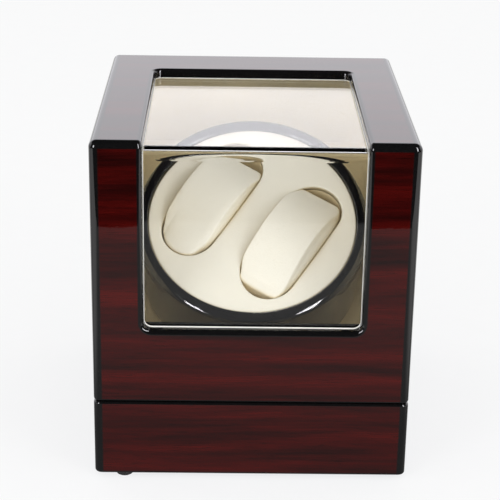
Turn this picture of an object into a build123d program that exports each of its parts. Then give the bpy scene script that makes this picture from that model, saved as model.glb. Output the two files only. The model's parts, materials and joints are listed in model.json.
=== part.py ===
from build123d import *
from math import sin, cos, tan, acos, radians, degrees, pi
import os

# ----------------------------------------------------------------------------
# Watch winder box for two watches.
# Frame: millimetres, +Z up, front is -Y, right is +X.  Origin: centre of the
# footprint, on the plane the rubber feet stand on.
# ----------------------------------------------------------------------------

# case
CASE_W = 175.0          # width, X
CASE_D = 190.0          # depth, Y
TOP_Z = 198.0           # top of the lid
FOOT_H = 3.0            # height of the rubber feet, so also the case underside
SEAM_Z = 47.8           # middle of the seam between base and lid
SEAM_GAP = 0.4
WALL = 8.0              # side and rear walls
FRONT_T = 8.5           # front wall and top board of the lid
LINING = 1.0            # leather lining
EDGE_R = 4.0            # rounded lacquered edges
LIP_R = 1.5             # rounded lips either side of the seam
REAR_LIP_R = 3.0        # larger along the rear, so that the lid can swing
PANEL_T = 6.0           # bottom board

# window (bent over the front and the top of the lid)
WIN_HALF_W = 59.5
WIN_SILL_Z = 91.0
WIN_REAR_Y = 56.7
WIN_EDGE_R = 2.5
WIN_CORNER_R = 4.5
RECESS = 5.5            # how deep the pane sits behind the lacquered surface
PANE_T = 3.0
PANE_BEND_R = 6.5       # outside of the bend
PANE_BEND_IN = 3.5      # inside of the bend
REBATE = 6.0            # how far the pane reaches behind the frame

# turntable
TILT = 38.7             # turntable axis, degrees forward of vertical
FACE = (0.0, -22.4, 129.6)   # centre of the leather face
PAD_R = 60.4
RING_R = 67.4
DRUM_R = 66.0
DRUM_DEPTH = 55.0
DRUM_WALL = 2.2
POCKET_ANGLE = 58.5     # long axis of the pockets, degrees from X
POCKET_OFFSET = 26.5
POCKET_W = 33.0
POCKET_L = 82.6
POCKET_DEPTH = 47.0
CUSHION_GAP = 0.45      # to the pocket wall, all round
CUSHION_L = 69.0
CUSHION_CREST = 10.0
CUSHION_ARCH_R = 55.0
CUSHION_BOTTOM = -43.0

# drive
MODULE = 1.0
GEAR_TEETH = 48
PINION_TEETH = 16
CENTRES = MODULE * (GEAR_TEETH + PINION_TEETH) / 2 + 0.15
GEAR_TOP = -66.0
GEAR_T = 6.0
DECK_TOP = -57.0        # below the leather face, along the turntable axis
COVER_T = 1.0
DECK_T = 6.0

# hinge
HINGE_Y = 93.5
HINGE_X = 50.0
KNUCKLE_R = 1.5
PIN_R = 0.75
LEAF_T = 0.8

BASE_TOP = SEAM_Z - SEAM_GAP / 2
LID_BOTTOM = SEAM_Z + SEAM_GAP / 2
HX, HY = CASE_W / 2, CASE_D / 2
IN_X = HX - WALL
IN_Y = HY - WALL
FRONT_IN = -HY + FRONT_T
TOP_IN = TOP_Z - FRONT_T

s, c = sin(radians(TILT)), cos(radians(TILT))
N = Vector(0, -s, c)                     # turntable axis, up and forwards
U = Vector(0, c, s)                      # up the slope
ORG = Vector(*FACE)
TURN = Plane(origin=ORG, x_dir=(1, 0, 0), z_dir=N)
TURN_SIDE = Plane(origin=ORG, x_dir=(1, 0, 0), z_dir=(0, -c, -s))   # radius against height
TURN_AXIS = Axis(ORG, N)


def on_turn(x, y, h):
    """World point of turntable coordinates."""
    return ORG + Vector(1, 0, 0) * x + U * y + N * h


os.makedirs("parts", exist_ok=True)


def save(builder, name):
    builder.part.label = name
    export_step(builder.part, "parts/" + name + ".step")


# ----------------------------------------------------------------------------
# Base
# ----------------------------------------------------------------------------
CTRL_X, CTRL_Z0, CTRL_Z1 = 27.0, 13.0, 37.0
PANEL_X, PANEL_Y = HX - 3.0, HY - 3.0
BOTTOM_SCREWS = [(82, 55), (82, -55), (-82, 55), (-82, -55),
                 (40, 89.5), (-40, 89.5), (40, -89.5), (-40, -89.5)]
FEET = [(-71, -88.0), (71, -79.5), (-71, 80.0), (71, 80.0)]

with BuildPart() as base_walls:
    with BuildSketch(Plane.XY.offset(FOOT_H)):
        Rectangle(CASE_W, CASE_D)
    extrude(amount=BASE_TOP - FOOT_H)
    fillet(base_walls.edges().filter_by(Axis.Z), EDGE_R)
    fillet(base_walls.faces().sort_by(Axis.Z)[-1].edges(), LIP_R)
    fillet(base_walls.faces().sort_by(Axis.Z)[0].edges(), 1.5)
    with BuildSketch(Plane.YZ.offset(-HX - 1)):
        with Locations((HY - REAR_LIP_R / 2 + 0.5, BASE_TOP - REAR_LIP_R / 2 + 0.5)):
            Rectangle(REAR_LIP_R + 1, REAR_LIP_R + 1)
        with Locations((HY - REAR_LIP_R, BASE_TOP - REAR_LIP_R)):
            Circle(REAR_LIP_R, mode=Mode.SUBTRACT)
    extrude(amount=CASE_W + 2, mode=Mode.SUBTRACT)
    with BuildSketch(Plane.XY.offset(FOOT_H)):
        Rectangle(2 * IN_X, 2 * IN_Y)
    extrude(amount=BASE_TOP - FOOT_H, mode=Mode.SUBTRACT)
    with BuildSketch(Plane.XY.offset(FOOT_H)):
        RectangleRounded(2 * PANEL_X + 0.3, 2 * PANEL_Y + 0.3, 2.0)
    extrude(amount=PANEL_T + 0.1, mode=Mode.SUBTRACT)
    # rear opening for the control recess
    with BuildSketch(Plane.XZ.offset(-HY)):
        with Locations((0, (CTRL_Z0 + CTRL_Z1) / 2)):
            RectangleRounded(2 * CTRL_X, CTRL_Z1 - CTRL_Z0, 3.0)
    extrude(amount=WALL, mode=Mode.SUBTRACT)
    # hinge recesses and their screw holes
    with Locations((HINGE_X, 90.7, BASE_TOP), (-HINGE_X, 90.7, BASE_TOP)):
        Box(30.6, 8.8, 2 * LEAF_T, mode=Mode.SUBTRACT)
    with Locations((HINGE_X, 93.5, BASE_TOP - 0.6), (-HINGE_X, 93.5, BASE_TOP - 0.6)):
        Box(30.6, 3.6, 2.4, mode=Mode.SUBTRACT)
    with Locations(*[(sx * HINGE_X + dx, 89.4, BASE_TOP - LEAF_T) for sx in (1, -1) for dx in (-10, 10)]):
        Cylinder(0.82, 14, align=(Align.CENTER, Align.CENTER, Align.MAX), mode=Mode.SUBTRACT)
    # pilot holes for the bottom board
    with Locations(*[(x, y, FOOT_H + PANEL_T) for x, y in BOTTOM_SCREWS]):
        Cylinder(1.27, 9.2, align=(Align.CENTER, Align.CENTER, Align.MIN), mode=Mode.SUBTRACT)
save(base_walls, "base_walls")

with BuildPart() as bottom_panel:
    with BuildSketch(Plane.XY.offset(FOOT_H)):
        RectangleRounded(2 * PANEL_X, 2 * PANEL_Y, 1.8)
    extrude(amount=PANEL_T)
    with Locations(*[Plane((x, y, FOOT_H), z_dir=(0, 0, -1)) for x, y in BOTTOM_SCREWS]):
        CounterSinkHole(radius=1.35, counter_sink_radius=2.7, depth=PANEL_T)
    with Locations(*[(x, y, FOOT_H) for x, y in FEET]):
        Cylinder(1.22, 4.6, align=(Align.CENTER, Align.CENTER, Align.MIN), mode=Mode.SUBTRACT)
save(bottom_panel, "bottom_panel")

with BuildPart() as screw_profile_bottom:
    with BuildSketch(Plane.XZ):
        with BuildLine():
            Polyline((0, 0), (2.3, 0), (2.3, 0.2), (1.25, 1.5), (1.25, 13.6), (0.5, 14.8), (0, 14.8), close=True)
        make_face()
    revolve(axis=Axis.Z)
    with BuildSketch(Plane.XY):
        Rectangle(2.4, 0.5)
        Rectangle(0.5, 2.4)
    extrude(amount=0.7, mode=Mode.SUBTRACT)
with BuildPart() as bottom_panel_screws:
    with Locations(*[(x, y, FOOT_H + 0.05) for x, y in BOTTOM_SCREWS]):
        add(screw_profile_bottom.part)
save(bottom_panel_screws, "bottom_panel_screws")

with BuildPart() as rubber_feet:
    for fx, fy in FEET:
        with BuildSketch(Plane((fx, fy, FOOT_H), x_dir=(1, 0, 0), z_dir=(0, -1, 0))):
            with BuildLine():
                Polyline((1.4, 0), (5.4, 0), (5.4, -0.8), (4.6, -2.6), (4.0, -3.0), (2.5, -3.0), (2.5, -1.2), (1.4, -1.2), close=True)
            make_face()
        revolve(axis=Axis((fx, fy, 0), (0, 0, 1)))
save(rubber_feet, "rubber_feet")

with BuildPart() as foot_screws:
    for fx, fy in FEET:
        with BuildSketch(Plane((fx, fy, FOOT_H), x_dir=(1, 0, 0), z_dir=(0, -1, 0))):
            with BuildLine():
                Polyline((0, -2.3), (1.4, -2.3), (2.2, -1.8), (2.2, -1.2), (1.2, -1.2), (1.2, 3.6), (0.4, 4.4), (0, 4.4), close=True)
            make_face()
        revolve(axis=Axis((fx, fy, 0), (0, 0, 1)))
save(foot_screws, "foot_screws")

# leather lining round the inside of the base
with BuildPart() as base_lining:
    with BuildSketch(Plane.XY.offset(FOOT_H + PANEL_T + 0.3)):
        Rectangle(2 * IN_X - 0.04, 2 * IN_Y - 0.04)
        Rectangle(2 * (IN_X - LINING), 2 * (IN_Y - LINING), mode=Mode.SUBTRACT)
    extrude(amount=BASE_TOP - 1.0 - FOOT_H - PANEL_T - 0.3)
    with BuildSketch(Plane.XZ.offset(-HY)):
        with Locations((0, (CTRL_Z0 + CTRL_Z1) / 2)):
            Rectangle(2 * CTRL_X + 4, CTRL_Z1 - CTRL_Z0 + 4)
    extrude(amount=12, mode=Mode.SUBTRACT)
save(base_lining, "base_lining")


# inclined deck that carries the turntable ------------------------------------
def slope_y(z, h):
    """Y of the inclined plane at height h along the turntable axis, for a given Z."""
    p = on_turn(0, 0, h)
    return p.Y + (z - p.Z) * c / s


def slope_z(y, h):
    p = on_turn(0, 0, h)
    return p.Z + (y - p.Y) * s / c


DECK_REAR = 84.5
FLOOR_Z = FOOT_H + PANEL_T + 0.1
DECK_HALF = IN_X - LINING - 1.0
h0, h1, h2 = DECK_TOP, DECK_TOP - COVER_T, DECK_TOP - COVER_T - DECK_T
POSTS = [(14, 31), (14, -31), (58, 31), (58, -31)]

with BuildPart() as deck_cover:
    with BuildSketch(Plane.YZ.offset(-DECK_HALF)):
        with BuildLine():
            Polyline((slope_y(FLOOR_Z, h0), FLOOR_Z), (DECK_REAR, slope_z(DECK_REAR, h0)),
                     (DECK_REAR, slope_z(DECK_REAR, h1) + 0.02), (slope_y(FLOOR_Z, h1) - 0.03, FLOOR_Z), close=True)
        make_face()
    extrude(amount=2 * DECK_HALF)
    with BuildSketch(TURN.offset(DECK_TOP - 3)):
        Circle(12.2)
    extrude(amount=6, mode=Mode.SUBTRACT)
save(deck_cover, "deck_cover")

with BuildPart() as deck_board:
    with BuildSketch(Plane.YZ.offset(-DECK_HALF + 0.3)):
        with BuildLine():
            Polyline((slope_y(FLOOR_Z, h1), FLOOR_Z), (DECK_REAR, slope_z(DECK_REAR, h1)),
                     (DECK_REAR, slope_z(DECK_REAR, h2)), (slope_y(FLOOR_Z, h2), FLOOR_Z), close=True)
        make_face()
    extrude(amount=2 * DECK_HALF - 0.6)
    with BuildSketch(TURN.offset(DECK_TOP - 10)):
        Circle(8.02)
    extrude(amount=12, mode=Mode.SUBTRACT)
    with BuildSketch(TURN.offset(h2)):
        with Locations(*POSTS):
            Circle(1.32)
    extrude(amount=4.4, mode=Mode.SUBTRACT)
save(deck_board, "deck_board")

SCREEN_Y0, SCREEN_Y1 = 82.0, 84.5
CHEEK_T = 4.0
for side, name in ((-1, "deck_cheek_left"), (1, "deck_cheek_right")):
    with BuildPart() as cheek:
        with BuildSketch(Plane.YZ.offset(side * (DECK_HALF - 1.5) - (CHEEK_T if side > 0 else 0))):
            with BuildLine():
                Polyline((slope_y(FLOOR_Z + 0.2, h2 - 0.1), FLOOR_Z + 0.2), (SCREEN_Y0 - 0.1, slope_z(SCREEN_Y0 - 0.1, h2 - 0.1)),
                         (SCREEN_Y0 - 0.1, FLOOR_Z + 0.2), close=True)
            make_face()
        extrude(amount=CHEEK_T)
    save(cheek, name)

with BuildPart() as rear_screen:
    with BuildSketch(Plane.YZ.offset(-DECK_HALF + 0.3)):
        with BuildLine():
            Polyline((SCREEN_Y0, FLOOR_Z + 0.2), (SCREEN_Y1, FLOOR_Z + 0.2),
                     (SCREEN_Y1, slope_z(SCREEN_Y1, h2 - 0.1)), (SCREEN_Y0, slope_z(SCREEN_Y0, h2 - 0.1)), close=True)
        make_face()
    extrude(amount=2 * DECK_HALF - 0.6)
    with BuildSketch(Plane.XZ.offset(-SCREEN_Y1 - 1)):
        with Locations((0, (CTRL_Z0 + CTRL_Z1) / 2)):
            Rectangle(2 * CTRL_X + 5, CTRL_Z1 - CTRL_Z0 + 5)
    extrude(amount=6, mode=Mode.SUBTRACT)
save(rear_screen, "rear_screen")

# flanged bearing bush in the deck
with BuildPart() as bearing_bush:
    with BuildSketch(TURN_SIDE):
        with BuildLine():
            Polyline((4.05, DECK_TOP + 1.2), (11.5, DECK_TOP + 1.2), (12.0, DECK_TOP + 0.8), (12.0, DECK_TOP - COVER_T + 0.01),
                     (8.0, DECK_TOP - COVER_T + 0.01), (8.0, h2 - 1.0), (4.05, h2 - 1.0), close=True)
        make_face()
    revolve(axis=TURN_AXIS)
save(bearing_bush, "bearing_bush")

# bracket, standoffs, gearbox and motor under the deck
PLATE_TOP = -75.5
PLATE_T = 1.5
GB_R, GB_T = 16.0, 14.0
CAN_R, CAN_T = 12.0, 22.0
with BuildPart() as motor_bracket:
    with BuildSketch(TURN.offset(PLATE_TOP - PLATE_T)):
        with Locations((36, 0)):
            RectangleRounded(54, 72, 4)
        with Locations((CENTRES, 0)):
            Circle(5.2, mode=Mode.SUBTRACT)
        with Locations(*POSTS):
            Circle(1.32, mode=Mode.SUBTRACT)
        with Locations((CENTRES, 11.5), (CENTRES, -11.5)):
            Circle(1.02, mode=Mode.SUBTRACT)
    extrude(amount=PLATE_T)
save(motor_bracket, "motor_bracket")

with BuildPart() as bracket_spacers:
    with BuildSketch(TURN.offset(PLATE_TOP + 0.02)):
        with Locations(*POSTS):
            Circle(3.0)
            Circle(1.32, mode=Mode.SUBTRACT)
    extrude(amount=h2 - PLATE_TOP - 0.04)
save(bracket_spacers, "bracket_spacers")

with BuildPart() as bracket_screws:
    for px, py in POSTS:
        with BuildSketch(Plane(origin=on_turn(px, py, 0), x_dir=(1, 0, 0), z_dir=(0, -c, -s))):
            with BuildLine():
                Polyline((0, -79.2), (2.0, -79.2), (2.6, -78.6), (2.6, -77.02), (1.3, -77.02), (1.3, h2 + 3.6), (0.5, h2 + 4.3), (0, h2 + 4.3), close=True)
            make_face()
        revolve(axis=Axis(on_turn(px, py, 0), N))
save(bracket_screws, "bracket_screws")

GB_TOP = PLATE_TOP - PLATE_T - 0.02
with BuildPart() as motor_gearbox:
    with BuildSketch(TURN.offset(GB_TOP - GB_T)):
        with Locations((CENTRES, 0)):
            Circle(GB_R)
    extrude(amount=GB_T)
    fillet(motor_gearbox.edges().filter_by(GeomType.CIRCLE).group_by(Axis(ORG, N))[0], 1.2)
    with BuildSketch(TURN.offset(GB_TOP)):
        with Locations((CENTRES, 0)):
            Circle(5.0)
    extrude(amount=2.2)
    with BuildSketch(TURN.offset(GB_TOP + 3)):
        with Locations((CENTRES, 0)):
            Circle(2.05)
    extrude(amount=-14, mode=Mode.SUBTRACT)
    with BuildSketch(TURN.offset(GB_TOP)):
        with Locations((CENTRES, 11.5), (CENTRES, -11.5)):
            Circle(1.02)
    extrude(amount=-5.2, mode=Mode.SUBTRACT)
save(motor_gearbox, "motor_gearbox")

with BuildPart() as gearbox_screws:
    for py in (11.5, -11.5):
        with BuildSketch(Plane(origin=on_turn(CENTRES, py, 0), x_dir=(1, 0, 0), z_dir=(0, -c, -s))):
            with BuildLine():
                Polyline((0, PLATE_TOP + 1.2), (1.3, PLATE_TOP + 1.2), (1.8, PLATE_TOP + 0.8), (1.8, PLATE_TOP + 0.02), (1.0, PLATE_TOP + 0.02),
                         (1.0, GB_TOP - 4.4), (0.4, GB_TOP - 5.0), (0, GB_TOP - 5.0), close=True)
            make_face()
        revolve(axis=Axis(on_turn(CENTRES, py, 0), N))
save(gearbox_screws, "gearbox_screws")

CAN_TOP = GB_TOP - GB_T - 0.02
with BuildPart() as motor_can:
    with BuildSketch(TURN.offset(CAN_TOP - CAN_T)):
        with Locations((CENTRES, 0)):
            Circle(CAN_R)
    extrude(amount=CAN_T)
    fillet(motor_can.edges().filter_by(GeomType.CIRCLE).group_by(Axis(ORG, N))[0], 1.5)
    with BuildSketch(TURN.offset(CAN_TOP - CAN_T)):
        with Locations((CENTRES, 0)):
            Circle(3.0)
    extrude(amount=-2.0)
save(motor_can, "motor_can")

# rear controls ----------------------------------------------------------------
KNOB_X, JACK_X, CTRL_MID = -13.0, 13.0, (CTRL_Z0 + CTRL_Z1) / 2
TRAY_IN, TRAY_FLOOR = 85.2, 87.0
PCB_Y0, PCB_Y1 = 75.0, 76.6
with BuildPart() as control_housing:
    with BuildSketch(Plane.XZ.offset(-TRAY_IN)):
        with Locations((0, CTRL_MID)):
            RectangleRounded(2 * CTRL_X - 0.2, CTRL_Z1 - CTRL_Z0 - 0.2, 2.9)
    extrude(amount=-(94.6 - TRAY_IN))
    with BuildSketch(Plane.XZ.offset(-TRAY_FLOOR)):
        with Locations((0, CTRL_MID)):
            RectangleRounded(2 * CTRL_X - 3.4, CTRL_Z1 - CTRL_Z0 - 3.4, 1.8)
    extrude(amount=-9, mode=Mode.SUBTRACT)
    # posts for the circuit board
    with BuildSketch(Plane.XZ.offset(-PCB_Y1)):
        with Locations((-22.5, CTRL_MID - 8), (22.5, CTRL_MID + 8)):
            Circle(2.2)
    extrude(amount=-(TRAY_IN - PCB_Y1))
    with BuildSketch(Plane.XZ.offset(-PCB_Y1)):
        with Locations((-22.5, CTRL_MID - 8), (22.5, CTRL_MID + 8)):
            Circle(1.02)
    extrude(amount=-6.2, mode=Mode.SUBTRACT)
    # holes for the selector spindle and the inlet
    with BuildSketch(Plane.XZ.offset(-80)):
        with Locations((KNOB_X, CTRL_MID)):
            Circle(3.2)
        with Locations((JACK_X, CTRL_MID)):
            Circle(4.6)
    extrude(amount=-12, mode=Mode.SUBTRACT)
save(control_housing, "control_housing")

with BuildPart() as control_pcb:
    with BuildSketch(Plane.XZ.offset(-PCB_Y0)):
        with Locations((0, CTRL_MID)):
            Rectangle(50, 22)
        with Locations((-22.5, CTRL_MID - 8), (22.5, CTRL_MID + 8)):
            Circle(1.02, mode=Mode.SUBTRACT)
    extrude(amount=-(PCB_Y1 - PCB_Y0))
    # driver chip and capacitor on the inner face
    with Locations((2, PCB_Y0 - 0.8, CTRL_MID)):
        Box(9, 1.6, 6)
    with BuildSketch(Plane.XZ.offset(-PCB_Y0)):
        with Locations((-9, CTRL_MID + 4)):
            Circle(2.5)
    extrude(amount=5)
save(control_pcb, "control_pcb")

with BuildPart() as pcb_screws:
    for px, pz in ((-22.5, CTRL_MID - 8), (22.5, CTRL_MID + 8)):
        with BuildSketch(Plane((px, PCB_Y0, pz), x_dir=(1, 0, 0), z_dir=(0, 0, 1))):
            with BuildLine():
                Polyline((0, -1.2), (1.5, -1.2), (1.9, -0.8), (1.9, -0.02), (1.0, -0.02), (1.0, 6.6), (0.4, 7.2), (0, 7.2), close=True)
            make_face()
        revolve(axis=Axis((px, PCB_Y0, pz), (0, 1, 0)))
save(pcb_screws, "pcb_screws")

with BuildPart() as selector_switch:
    with Locations((KNOB_X, (PCB_Y1 + 83.0) / 2 + 0.01, CTRL_MID)):
        Box(13, 83.0 - PCB_Y1, 13)
    with BuildSketch(Plane.XZ.offset(-83.0)):
        with Locations((KNOB_X, CTRL_MID)):
            Circle(3.1)
    extrude(amount=-3.0)
    with BuildSketch(Plane.XZ.offset(-78.0)):
        with Locations((KNOB_X, CTRL_MID)):
            Circle(1.55)
    extrude(amount=-10.0, mode=Mode.SUBTRACT)
save(selector_switch, "selector_switch")

with BuildPart() as mode_knob:
    with BuildSketch(Plane.XZ.offset(-87.4)):
        with Locations((KNOB_X, CTRL_MID)):
            Circle(7.2)
    extrude(amount=-6.4)
    # grip flutes
    with BuildSketch(Plane.XZ.offset(-89.0)):
        with Locations((KNOB_X, CTRL_MID)):
            with PolarLocations(7.6, 16):
                Circle(0.8)
    extrude(amount=-6.0, mode=Mode.SUBTRACT)
    chamfer(mode_knob.faces().sort_by(Axis.Y)[-1].edges(), 0.3)
    # pointer groove
    with Locations((KNOB_X, 93.8, CTRL_MID + 3.6)):
        Box(1.0, 1.0, 5.0, mode=Mode.SUBTRACT)
    # spindle
    with BuildSketch(Plane.XZ.offset(-78.5)):
        with Locations((KNOB_X, CTRL_MID)):
            Circle(1.5)
    extrude(amount=-9.2)
save(mode_knob, "mode_knob")

with BuildPart() as dc_inlet_jack:
    with Locations((JACK_X, (PCB_Y1 + 84.8) / 2 + 0.01, CTRL_MID)):
        Box(9, 84.8 - PCB_Y1, 11)
    with BuildSketch(Plane.XZ.offset(-84.8)):
        with Locations((JACK_X, CTRL_MID)):
            Circle(4.5)
    extrude(amount=-4.2)
    with BuildSketch(Plane.XZ.offset(-79.5)):
        with Locations((JACK_X, CTRL_MID)):
            Circle(2.85)
    extrude(amount=-12.0, mode=Mode.SUBTRACT)
    with BuildSketch(Plane.XZ.offset(-77.5)):
        with Locations((JACK_X, CTRL_MID)):
            Circle(1.05)
    extrude(amount=-3.0, mode=Mode.SUBTRACT)
save(dc_inlet_jack, "dc_inlet_jack")

with BuildPart() as dc_inlet_pin:
    with BuildSketch(Plane.XZ.offset(-77.6)):
        with Locations((JACK_X, CTRL_MID)):
            Circle(1.0)
    extrude(amount=-10.6)
    fillet(dc_inlet_pin.edges().filter_by(GeomType.CIRCLE).sort_by(Axis.Y)[-1], 0.8)
save(dc_inlet_pin, "dc_inlet_pin")

# leads from the circuit board to the motor
with BuildPart() as motor_leads:
    for k, dz in ((0, 3.0), (1, -3.0)):
        start = Vector(20.0, PCB_Y0 - 0.02, CTRL_MID + dz)
        end = on_turn(CENTRES + (7.0 if k else -7.0), 0, CAN_TOP - CAN_T - 0.02)
        p1 = start + Vector(0, -4.5, 0)
        p2 = end - N * 6.0
        mid = (p1 + p2) * 0.5 + Vector(0, 0, -3.0)
        with BuildLine() as lead_path:
            FilletPolyline(start, p1, mid, p2, end, radius=1.6)
        with BuildSketch(Plane(origin=start, z_dir=(0, -1, 0))):
            Circle(0.7)
        sweep(path=lead_path.line)
save(motor_leads, "motor_leads")

# ----------------------------------------------------------------------------
# Lid
# ----------------------------------------------------------------------------
with BuildPart() as lid_shell:
    with BuildSketch(Plane.XY.offset(LID_BOTTOM)):
        Rectangle(CASE_W, CASE_D)
    extrude(amount=TOP_Z - LID_BOTTOM)
    fillet(lid_shell.edges().filter_by(Axis.Z), EDGE_R)
    fillet(lid_shell.faces().sort_by(Axis.Z)[-1].edges(), EDGE_R)
    fillet(lid_shell.faces().sort_by(Axis.Z)[0].edges(), LIP_R)
    with BuildSketch(Plane.YZ.offset(-HX - 1)):
        with Locations((HY - REAR_LIP_R / 2 + 0.5, LID_BOTTOM + REAR_LIP_R / 2 - 0.5)):
            Rectangle(REAR_LIP_R + 1, REAR_LIP_R + 1)
        with Locations((HY - REAR_LIP_R, LID_BOTTOM + REAR_LIP_R)):
            Circle(REAR_LIP_R, mode=Mode.SUBTRACT)
    extrude(amount=CASE_W + 2, mode=Mode.SUBTRACT)
    # inside
    with BuildSketch(Plane.XY.offset(LID_BOTTOM)):
        with Locations((0, (IN_Y + FRONT_IN) / 2)):
            Rectangle(2 * IN_X, IN_Y - FRONT_IN)
    extrude(amount=TOP_IN - LID_BOTTOM, mode=Mode.SUBTRACT)
    # window opening through the top, rear corners rounded
    with BuildSketch(Plane.XY.offset(TOP_IN - 1)):
        with BuildLine():
            Polyline((-WIN_HALF_W, -HY - 5), (WIN_HALF_W, -HY - 5), (WIN_HALF_W, WIN_REAR_Y), (-WIN_HALF_W, WIN_REAR_Y), close=True)
        rear_face = make_face()
        fillet(rear_face.vertices().group_by(Axis.Y)[-1], WIN_CORNER_R)
    extrude(amount=FRONT_T + 2, mode=Mode.SUBTRACT)
    # and down through the front, lower corners rounded
    with BuildSketch(Plane.XZ.offset(HY + 1)):
        with BuildLine():
            Polyline((-WIN_HALF_W, WIN_SILL_Z), (WIN_HALF_W, WIN_SILL_Z), (WIN_HALF_W, TOP_Z + 5), (-WIN_HALF_W, TOP_Z + 5), close=True)
        sill_face = make_face()
        fillet(sill_face.vertices().group_by(Axis.Z)[0], WIN_CORNER_R)
    extrude(amount=-(FRONT_T + 2), mode=Mode.SUBTRACT)
    # rounded lacquered edge all round the window
    outer = [e for e in lid_shell.edges()
             if abs(e.center().X) < WIN_HALF_W + 0.1
             and (abs(e.center().Y + HY) < 0.05 and e.center().Z > WIN_SILL_Z - 0.1 and e.center().Z < TOP_Z - EDGE_R
                  or abs(e.center().Z - TOP_Z) < 0.05 and e.center().Y < WIN_REAR_Y + 0.1 and e.center().Y > -HY + EDGE_R
                  or abs(abs(e.center().X) - WIN_HALF_W) < 0.05 and e.geom_type == GeomType.CIRCLE and e.center().Z > TOP_Z - EDGE_R and e.center().Y < -HY + EDGE_R)]
    fillet(outer, WIN_EDGE_R)
    # rebate for the pane, worked from the inside
    with BuildSketch(Plane.XY.offset(TOP_IN - 0.5)):
        with Locations((0, (WIN_REAR_Y + REBATE + 0.1 - HY + RECESS) / 2)):
            Rectangle(2 * (WIN_HALF_W + REBATE) + 0.2, WIN_REAR_Y + REBATE + 0.1 + HY - RECESS)
    extrude(amount=PANE_T + 0.5, mode=Mode.SUBTRACT)
    with BuildSketch(Plane.XZ.offset(HY - RECESS)):
        with Locations((0, (WIN_SILL_Z - REBATE - 0.1 + TOP_Z - RECESS) / 2)):
            Rectangle(2 * (WIN_HALF_W + REBATE) + 0.2, TOP_Z - RECESS - WIN_SILL_Z + REBATE + 0.1)
    extrude(amount=-(PANE_T + 0.5), mode=Mode.SUBTRACT)
    # hinge recesses and their screw holes
    with Locations((HINGE_X, 90.7, LID_BOTTOM), (-HINGE_X, 90.7, LID_BOTTOM)):
        Box(30.6, 8.8, 2 * LEAF_T, mode=Mode.SUBTRACT)
    with Locations((HINGE_X, 93.5, LID_BOTTOM + 0.6), (-HINGE_X, 93.5, LID_BOTTOM + 0.6)):
        Box(30.6, 3.6, 2.4, mode=Mode.SUBTRACT)
    with Locations(*[(sx * HINGE_X + dx, 89.4, LID_BOTTOM + LEAF_T) for sx in (1, -1) for dx in (-10, 10)]):
        Cylinder(0.82, 14, align=(Align.CENTER, Align.CENTER, Align.MIN), mode=Mode.SUBTRACT)
save(lid_shell, "lid_shell")

# one acrylic sheet bent over the top front edge
PY0, PY1 = -HY + RECESS + 0.02, WIN_REAR_Y + REBATE
PZ0, PZ1 = WIN_SILL_Z - REBATE, TOP_Z - RECESS - 0.02
with BuildPart() as window_pane:
    with BuildSketch(Plane.YZ.offset(-(WIN_HALF_W + REBATE))):
        with BuildLine():
            Line((PY0, PZ0), (PY0, PZ1 - PANE_BEND_R))
            RadiusArc((PY0, PZ1 - PANE_BEND_R), (PY0 + PANE_BEND_R, PZ1), PANE_BEND_R)
            Line((PY0 + PANE_BEND_R, PZ1), (PY1, PZ1))
            Line((PY1, PZ1), (PY1, PZ1 - PANE_T))
            Line((PY1, PZ1 - PANE_T), (PY0 + PANE_T + PANE_BEND_IN, PZ1 - PANE_T))
            RadiusArc((PY0 + PANE_T + PANE_BEND_IN, PZ1 - PANE_T), (PY0 + PANE_T, PZ1 - PANE_T - PANE_BEND_IN), -PANE_BEND_IN)
            Line((PY0 + PANE_T, PZ1 - PANE_T - PANE_BEND_IN), (PY0 + PANE_T, PZ0))
            Line((PY0 + PANE_T, PZ0), (PY0, PZ0))
        make_face()
    extrude(amount=2 * (WIN_HALF_W + REBATE))
save(window_pane, "window_pane")

# leather lining of the lid, one piece a wall
LZ0, LZ1 = LID_BOTTOM + 0.6, TOP_IN - 0.1
with BuildPart() as lid_lining_back:
    with BuildSketch(Plane.XY.offset(LZ0)):
        with Locations((0, IN_Y - LINING / 2 - 0.02)):
            Rectangle(2 * IN_X - 0.1, LINING)
    extrude(amount=LZ1 - LZ0)
save(lid_lining_back, "lid_lining_back")
for side, name in ((-1, "lid_lining_left"), (1, "lid_lining_right")):
    with BuildPart() as lining_side:
        with BuildSketch(Plane.XY.offset(LZ0)):
            with Locations((side * (IN_X - LINING / 2 - 0.02), (IN_Y - LINING - 0.1 + FRONT_IN + 0.1) / 2)):
                Rectangle(LINING, IN_Y - LINING - 0.1 - FRONT_IN - 0.1)
        extrude(amount=LZ1 - LZ0)
    save(lining_side, name)
with BuildPart() as lid_lining_front:
    with BuildSketch(Plane.XY.offset(LZ0)):
        with Locations((0, FRONT_IN + LINING / 2 + 0.02)):
            Rectangle(2 * (IN_X - LINING) - 0.2, LINING)
    extrude(amount=PZ0 - 0.3 - LZ0)
save(lid_lining_front, "lid_lining_front")

# ----------------------------------------------------------------------------
# Hinges, one pair of leaves and a pin each side
# ----------------------------------------------------------------------------
HL = 30.0
K1 = 9.3      # length of each outer knuckle
KIN = HL / 2 - K1 - 0.25


def hinge_leaf_profile(sign):
    """Leaf section in Y, Z; sign -1 is the base leaf, +1 the lid leaf."""
    z_in = SEAM_Z + sign * SEAM_GAP / 2
    z_out = z_in + sign * LEAF_T
    return [(87.2, z_in), (HINGE_Y, z_in), (HINGE_Y, z_out), (87.2, z_out)]


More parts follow.
